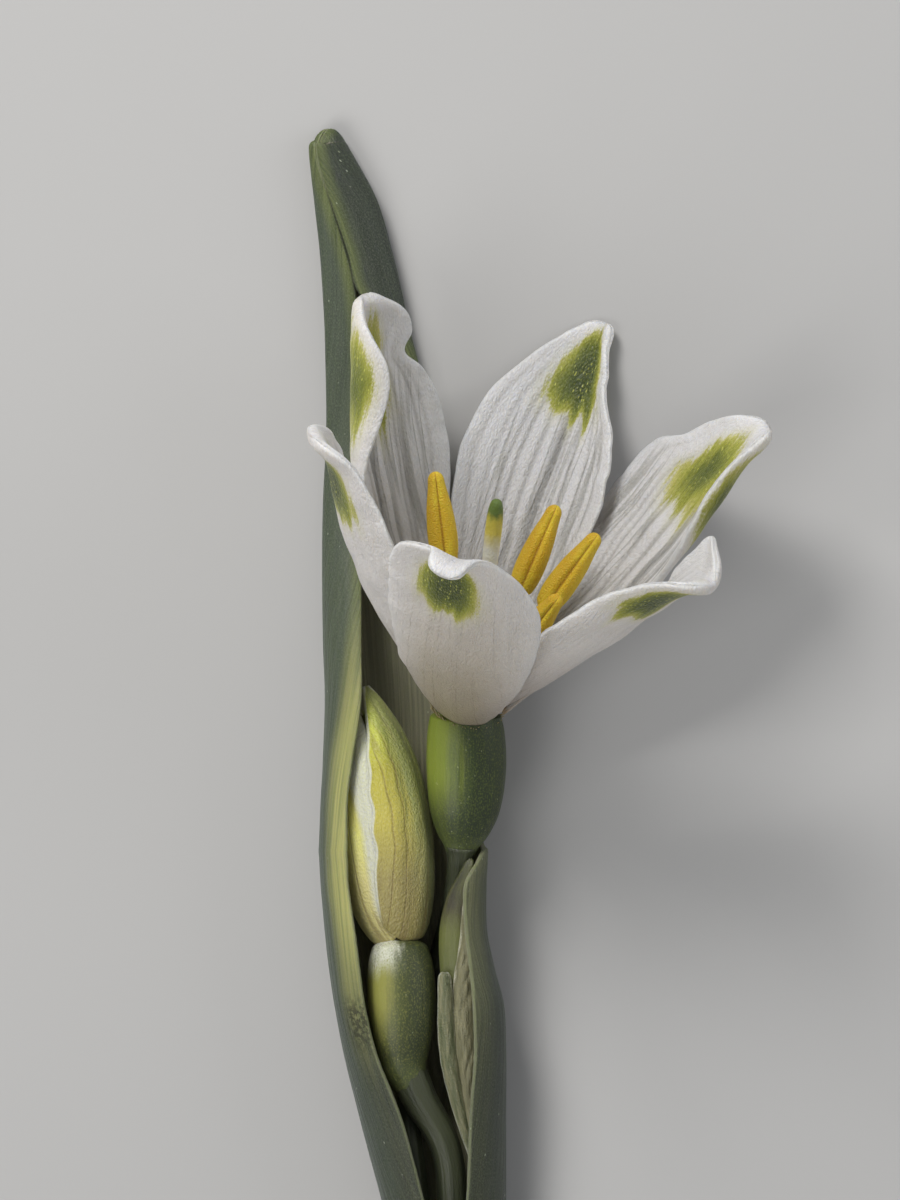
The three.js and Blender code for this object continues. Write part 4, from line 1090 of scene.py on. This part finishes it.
def bud_petal_middle(first_edge, last_edge, before, end, rise):
    """One outer petal's middle surface, between two angles: 0 at the bud's back, 90 on its right.

    last_edge is knots along the petal. Its foot is rounded on both sides, and its tip narrows
    towards an angle that many degrees before last_edge. It ends at that share of the bud's
    length, and rise lifts it off the others.
    """
    path = np.asarray(BUD_AXIS)
    reach = reach_along(path)
    share = np.linspace(0, 1, BUD_ROWS + 1)
    place = share * end
    centre = through(np.column_stack((reach / reach[-1], path)), place)
    ahead = unit(np.gradient(centre, axis=0))
    wide = unit(np.cross(ahead, (0, 0, 1)))
    up = np.cross(wide, ahead)
    foot = rounded(share / BUD_FOOT)
    radius = through(BUD_RADIUS, place)[:, 0] - BUD_PETAL_THICKNESS / 2 + rise
    radius = radius - BUD_FOOT_TUCK * (1 - foot)
    narrowing = np.sqrt(1 - 0.80 * share**6)
    across = np.linspace(-1, 1, BUD_COLUMNS + 1)
    last_edge = through(last_edge, share)
    angle = first_edge + (last_edge - first_edge) * (across + 1) / 2
    angle = (last_edge - before) + (angle - last_edge + before) * narrowing[:, None]
    middle = angle.mean(axis=1, keepdims=True)
    angle = np.radians(middle + (angle - middle) * (0.30 + 0.70 * foot[:, None]))
    waves = 0.05 * np.cos(across * math.pi * 3.5) * np.sin(math.pi * share)[:, None]
    radius = radius[:, None] + waves
    return (centre[:, None] + wide[:, None] * (radius * np.sin(angle))[..., None]
            - up[:, None] * (radius * np.cos(angle))[..., None])


def bud_petal_shape(seed, **place):
    middle = bud_petal_middle(**place)
    along = np.linspace(0, 1, middle.shape[0])[:, None]
    across = np.linspace(-1, 1, middle.shape[1])[None, :]
    pleat = ripple(seed, 0.42, 0.14)
    grooves = np.clip(pleat(across, 0.5 * along) * 1.4, 0, 1) * np.sin(math.pi * along) ** 0.4
    return blade(middle, BUD_PETAL_THICKNESS, -0.035 * grooves, edge_share=0.32)


def bud_skin(name, heart, low, green_and_shade_side, slant_of_green, edge_white, white_side):
    """Yellow-green petal of the bud: a white edge, brown veins, a green tip, a paler foot.

    heart and low are its colours in the middle and at its foot. green_and_shade_side is where across
    it the green starts and is full; the green is its own, darkened on that side as painted shade.
    slant_of_green is how much further round it comes at the tip.
    edge_white is how far in the white edge reaches, and white_side which side has it.
    """
    made = Finish(name, flesh=(0.4, (0.9, 0.9, 0.35), 0.5), Specular_IOR_Level=0.4, Sheen_Weight=0.08,
                  Sheen_Roughness=0.4)
    along = made.field("where", 0)
    across = made.field("where", 1)
    edge = made.field("masks", 0)
    streaks = made.grain((3.4, 0.22, 1.0), 3.0, 0.6)
    fine = made.grain((15.0, 7.0, 1.0))
    skin = made.ramp(along, [(0.0, low), (0.25, low), (0.48, heart), (0.68, (0.50, 0.46, 0.055)),
                             (0.80, (0.64, 0.68, 0.08)), (0.95, (0.78, 0.88, 0.16))])
    turned = made.plus(across, made.centred(along, -slant_of_green))
    turned = made.plus(turned, made.centred(streaks, 0.7))
    # the green side: its own green, darkened as painted shade on that side
    skin = made.tint(skin, (0.275, 0.315, 0.130), made.step(turned, *green_and_shade_side), 0.9)
    skin = made.tint(skin, (0.50, 0.45, 0.13), made.step(streaks, 0.35, 0.75), 0.3)
    veins = made.times(made.lines((1.2, 0.05, 1.0), 0.03), made.step(along, 1.0, 0.7))
    veins = made.times(veins, 0.55)
    skin = made.mix(veins, skin, (0.22, 0.15, 0.06))
    # the white edge widens towards the tip, and stops short of the foot
    white = made.until(edge, edge_white * 0.55, edge_white)
    widening = made.maths("MAXIMUM", made.maths("SUBTRACT", along, 0.5), 0.0)
    white = made.times(white, made.step(made.maths("SUBTRACT", across, widening), *white_side))
    white = made.times(white, made.step(along, 0.06, 0.18))
    skin = made.tint(skin, (0.66, 0.675, 0.585), white, 0.9)
    skin = made.tint(skin, (0.60, 0.57, 0.28), made.step(fine, 0.42, 0.75), 0.34)
    relief = made.bump(made.cells((12.0, 7.0, 1.0)), 0.035)
    relief = made.bump(veins, -0.04, relief)
    return made.show(Base_Color=skin, Normal=relief, Roughness=made.scaled(fine, 0.3, 0.3))


bud_right = bud_skin("bud_right_skin", heart=(0.56, 0.49, 0.095), low=(0.32, 0.265, 0.10),
                     green_and_shade_side=(0.62, -0.12), slant_of_green=0.9,
                     edge_white=0.16, white_side=(-2.0, -1.9))
bud_left = bud_skin("bud_left_skin", heart=(0.82, 0.80, 0.26), low=(0.66, 0.60, 0.27),
                    green_and_shade_side=(-3.0, -4.0), slant_of_green=0.0,
                    edge_white=3.3, white_side=(-0.30, -0.50))
WAVY_EDGE = [(0, 204), (0.15, 199), (0.28, 195), (0.37, 189.5), (0.44, 192), (0.52, 187.5),
             (0.59, 190.5), (0.67, 186.5), (0.74, 188.5), (0.82, 185.5), (1, 190)]
BUD_PETALS = [
    ("bud_petal_right", bud_right, dict(
        seed=31, first_edge=60, last_edge=WAVY_EDGE, before=14, end=1.0, rise=0.06)),
    ("bud_petal_left", bud_left, dict(
        seed=32, first_edge=160, last_edge=[(0, 302), (1, 302)], before=70, end=0.9, rise=-0.16)),
    ("bud_petal_back", bud_right, dict(
        seed=33, first_edge=-62, last_edge=[(0, 68), (1, 68)], before=64, end=0.9, rise=-0.12))]
for name, finish, place in BUD_PETALS:
    make_piece(name + "_blade", bud_petal_shape(**place), finish, [name])

INNER_ROLL_PATH = [(-3.4, -10.8, 3.25), (-4.0, -7.2, 3.15), (-4.5, -3.3, 3.15), (-4.8, -0.8, 3.2)]
INNER_ROLL_HALF = [(0, 0.5, 0.5), (0.15, 1.15, 1.15), (0.4, 1.4, 1.4), (0.7, 1.15, 1.15),
                   (1, 0.4, 0.4)]
make_piece("bud_inner_petals_roll", stalk_skin(
    INNER_ROLL_PATH, INNER_ROLL_HALF, sides=60, steps=60, round_start=0.3, round_end=0.5,
    relief=lambda place, angle: 0.12 * np.abs(np.sin(1.5 * angle + 3 * place)) - 0.06),
    petal_finish, ["bud_inner_petals"])

BUD_OVARY_PATH = [(-2.68, -18.2, 3.67), (-3.08, -17.0, 3.7), (-3.2, -14.0, 3.7),
                  (-3.30, -10.95, 3.50)]
BUD_OVARY_HALF = [(0, 0.82, 0.82), (0.16, 1.12, 1.12), (0.34, 1.48, 1.48), (0.58, 1.66, 1.66),
                  (0.8, 1.60, 1.60), (0.92, 1.38, 1.38), (1, 1.05, 1.05)]
# its white patch near the top is a wax bloom with a painted highlight on it
bud_ovary_green = ovary_skin("bud_ovary_green", lit=(0.330, 0.325, 0.080),
                             green=(0.120, 0.140, 0.040), deep=(0.042, 0.054, 0.026),
                             stalk_end=(0.30, 0.02), left_edge=(-1.15, -0.45), wax=0.9)
make_piece("bud_ovary_skin", stalk_skin(
    BUD_OVARY_PATH, BUD_OVARY_HALF, sides=72, steps=90, round_end=0.5, relief=lobes(0.04)),
    bud_ovary_green, ["bud_ovary"])

BUD_STALK_PATH = [(-3.1, -16.9, 3.7), (-2.3, -18.8, 3.65), (-1.26, -20.6, 3.5),
                  (-0.87, -21.9, 3.3), (-0.73, -23.8, 3.05), (-0.7, -25.6, 2.9)]
BUD_STALK_HALF = [(0, 0.9, 0.9), (0.15, 0.88, 0.88), (0.25, 0.82, 0.82), (0.42, 0.74, 0.74),
                  (1, 0.68, 0.68)]
make_piece("bud_stalk_skin", stalk_skin(
    BUD_STALK_PATH, BUD_STALK_HALF, sides=44, steps=90,
    relief=lambda place, angle: 0.02 * np.cos(8 * angle)),
    stalk_green, ["bud_stalk"])

# ---- Young bud and its bracts -----------------------------------------------------------------
# The youngest bud is still small and olive, brown at its shoulder. A thin papery bract lies over
# its right side, dry and wrinkled with a pale rim, and a smaller rounded one lies in front.
YOUNG_BUD_PATH = [(0.22, -7.1, 4.55), (-0.02, -7.9, 4.5), (-0.34, -8.9, 4.3), (-0.50, -10.2, 4.1),
                  (-0.52, -11.8, 3.95), (-0.4, -14.2, 3.85), (-0.1, -16.8, 3.75)]
YOUNG_BUD_HALF = [(0, 0.18, 0.15), (0.1, 0.36, 0.3), (0.22, 0.60, 0.5), (0.38, 0.80, 0.7),
                  (0.6, 0.78, 0.7), (0.85, 0.62, 0.6), (1, 0.5, 0.5)]
YOUNG_STALK_PATH = [(-0.05, -16.7, 3.85), (0.35, -19, 3.6), (0.62, -21.5, 3.1), (0.8, -23.8, 2.6),
                    (0.82, -25.6, 2.35)]
YOUNG_STALK_HALF = [(0, 0.55, 0.55), (0.1, 0.5, 0.5), (1, 0.55, 0.55)]


def young_bud_skin():
    """Olive, from its dark brown tip and shoulder to its lighter middle; the darkest tip is partly
    painted shade under the ovary.
    """
    made = Finish("young_bud_skin", flesh=(0.3, (0.7, 0.9, 0.25), 0.4), Specular_IOR_Level=0.4)
    streaks = made.grain((4.0, 0.4, 4.0), 3.0)
    fine = made.grain((14.0, 8.0, 14.0))
    # dark brown at the tip and shoulder: its own brown, and painted shade under the ovary at the tip
    colour = made.ramp(made.field("where", 0), [
        (0.0, (0.045, 0.048, 0.030)), (0.14, (0.045, 0.046, 0.030)),
        (0.25, (0.062, 0.056, 0.036)), (0.38, (0.140, 0.155, 0.048)),
        (0.7, (0.120, 0.135, 0.055)), (1.0, (0.075, 0.086, 0.042))])
    colour = made.tint(colour, (0.17, 0.18, 0.06), made.step(streaks, 0.35, 0.75), 0.4)
    relief = made.bump(fine, 0.03)
    return made.show(Base_Color=colour, Normal=made.bump(streaks, 0.05, relief),
                     Roughness=made.scaled(fine, 0.25, 0.36))


make_piece("young_bud_skin", stalk_skin(
    YOUNG_BUD_PATH, YOUNG_BUD_HALF, sides=60, steps=90, round_start=0.4,
    relief=lambda place, angle: 0.03 * np.cos(3 * angle + 2 * place)),
    young_bud_skin(), ["young_bud"])
make_piece("young_bud_stalk_skin", stalk_skin(
    YOUNG_STALK_PATH, YOUNG_STALK_HALF, sides=36, steps=60),
    stalk_green, ["young_bud_stalk"])

BRACT_THICKNESS = 0.16
# the middle of each bract, as y, x and z, and its half width
YOUNG_BUD_BRACT = [(-7.5, 0.32, 4.5, 0.14), (-9.2, 0.14, 4.85, 0.34), (-11.2, 0.06, 4.95, 0.42),
                   (-12.9, -0.10, 4.95, 0.52), (-14.6, -0.12, 4.9, 0.60), (-16.6, -0.05, 4.75, 0.54),
                   (-18.6, 0.12, 4.35, 0.42), (-20.4, 0.35, 3.95, 0.28), (-21.4, 0.5, 3.65, 0.1)]
SMALL_BRACT = [(-12.62, -1.08, 4.86, 0.08), (-12.72, -1.08, 4.88, 0.22), (-13.0, -1.08, 4.9, 0.31),
               (-14.0, -1.04, 4.92, 0.36), (-15.6, -0.98, 4.86, 0.42), (-17.2, -0.80, 4.7, 0.42),
               (-19.0, -0.42, 4.3, 0.36), (-20.6, -0.02, 3.9, 0.24), (-21.6, 0.2, 3.6, 0.08)]


def bract_shape(rows, steps, columns, seed, wrinkles, arch):
    """A thin dry blade, wrinkled that many millimetres and arched by that share of its width."""
    knots = [(n, *row) for n, row in enumerate(rows)]
    y, x, z, half = (v[:, None] for v in through(knots, np.linspace(0, len(rows) - 1, steps + 1)).T)
    across = np.linspace(-1, 1, columns + 1)[None, :]
    fold = ripple(seed, 0.9, 0.25)
    edge = ripple(seed + 1, 1.6, 0.5)
    half = half * (1 + 0.04 * edge(y, across[:, :1]))
    lift = wrinkles * fold(0.35 * y, across * 0.9) + 0.02 * edge(y, 3 * across)
    middle = np.stack(np.broadcast_arrays(
        x + half * across, y, z - arch * half * across**2 + lift), -1)
    return blade(middle, BRACT_THICKNESS)


def papery(name, base, rim):
    """Dry thin tissue: olive with paler streaks, wrinkled, with a pale grainy rim."""
    made = Finish(name, flesh=(0.35, (0.8, 0.7, 0.4), 0.3), Specular_IOR_Level=0.4)
    edge = made.field("masks", 0)
    streaks = made.grain((4.5, 0.5, 1.0), 3.0, 0.6)
    fine = made.grain((16.0, 10.0, 1.0), 3.0)
    colour = made.mix(made.step(streaks, 0.3, 0.75), base, (0.29, 0.275, 0.165))
    frosted = made.until(made.plus(edge, made.centred(fine, 0.3)), 0.05, 0.24)
    colour = made.tint(colour, rim, frosted, 0.8)
    relief = made.bump(fine, 0.05)
    return made.show(Base_Color=colour, Normal=made.bump(streaks, 0.09, relief),
                     Roughness=made.scaled(fine, 0.3, 0.4))


make_piece("young_bud_bract_blade", bract_shape(
    YOUNG_BUD_BRACT, steps=150, columns=40, seed=61, wrinkles=0.09, arch=0.85),
    papery("papery_bract", base=(0.150, 0.145, 0.080), rim=(0.54, 0.53, 0.43)),
    ["young_bud_bract"])
make_piece("small_bract_blade", bract_shape(
    SMALL_BRACT, steps=90, columns=24, seed=62, wrinkles=0.02, arch=0.9),
    papery("small_bract", base=(0.100, 0.120, 0.058), rim=(0.46, 0.47, 0.37)),
    ["young_bud_small_bract"])
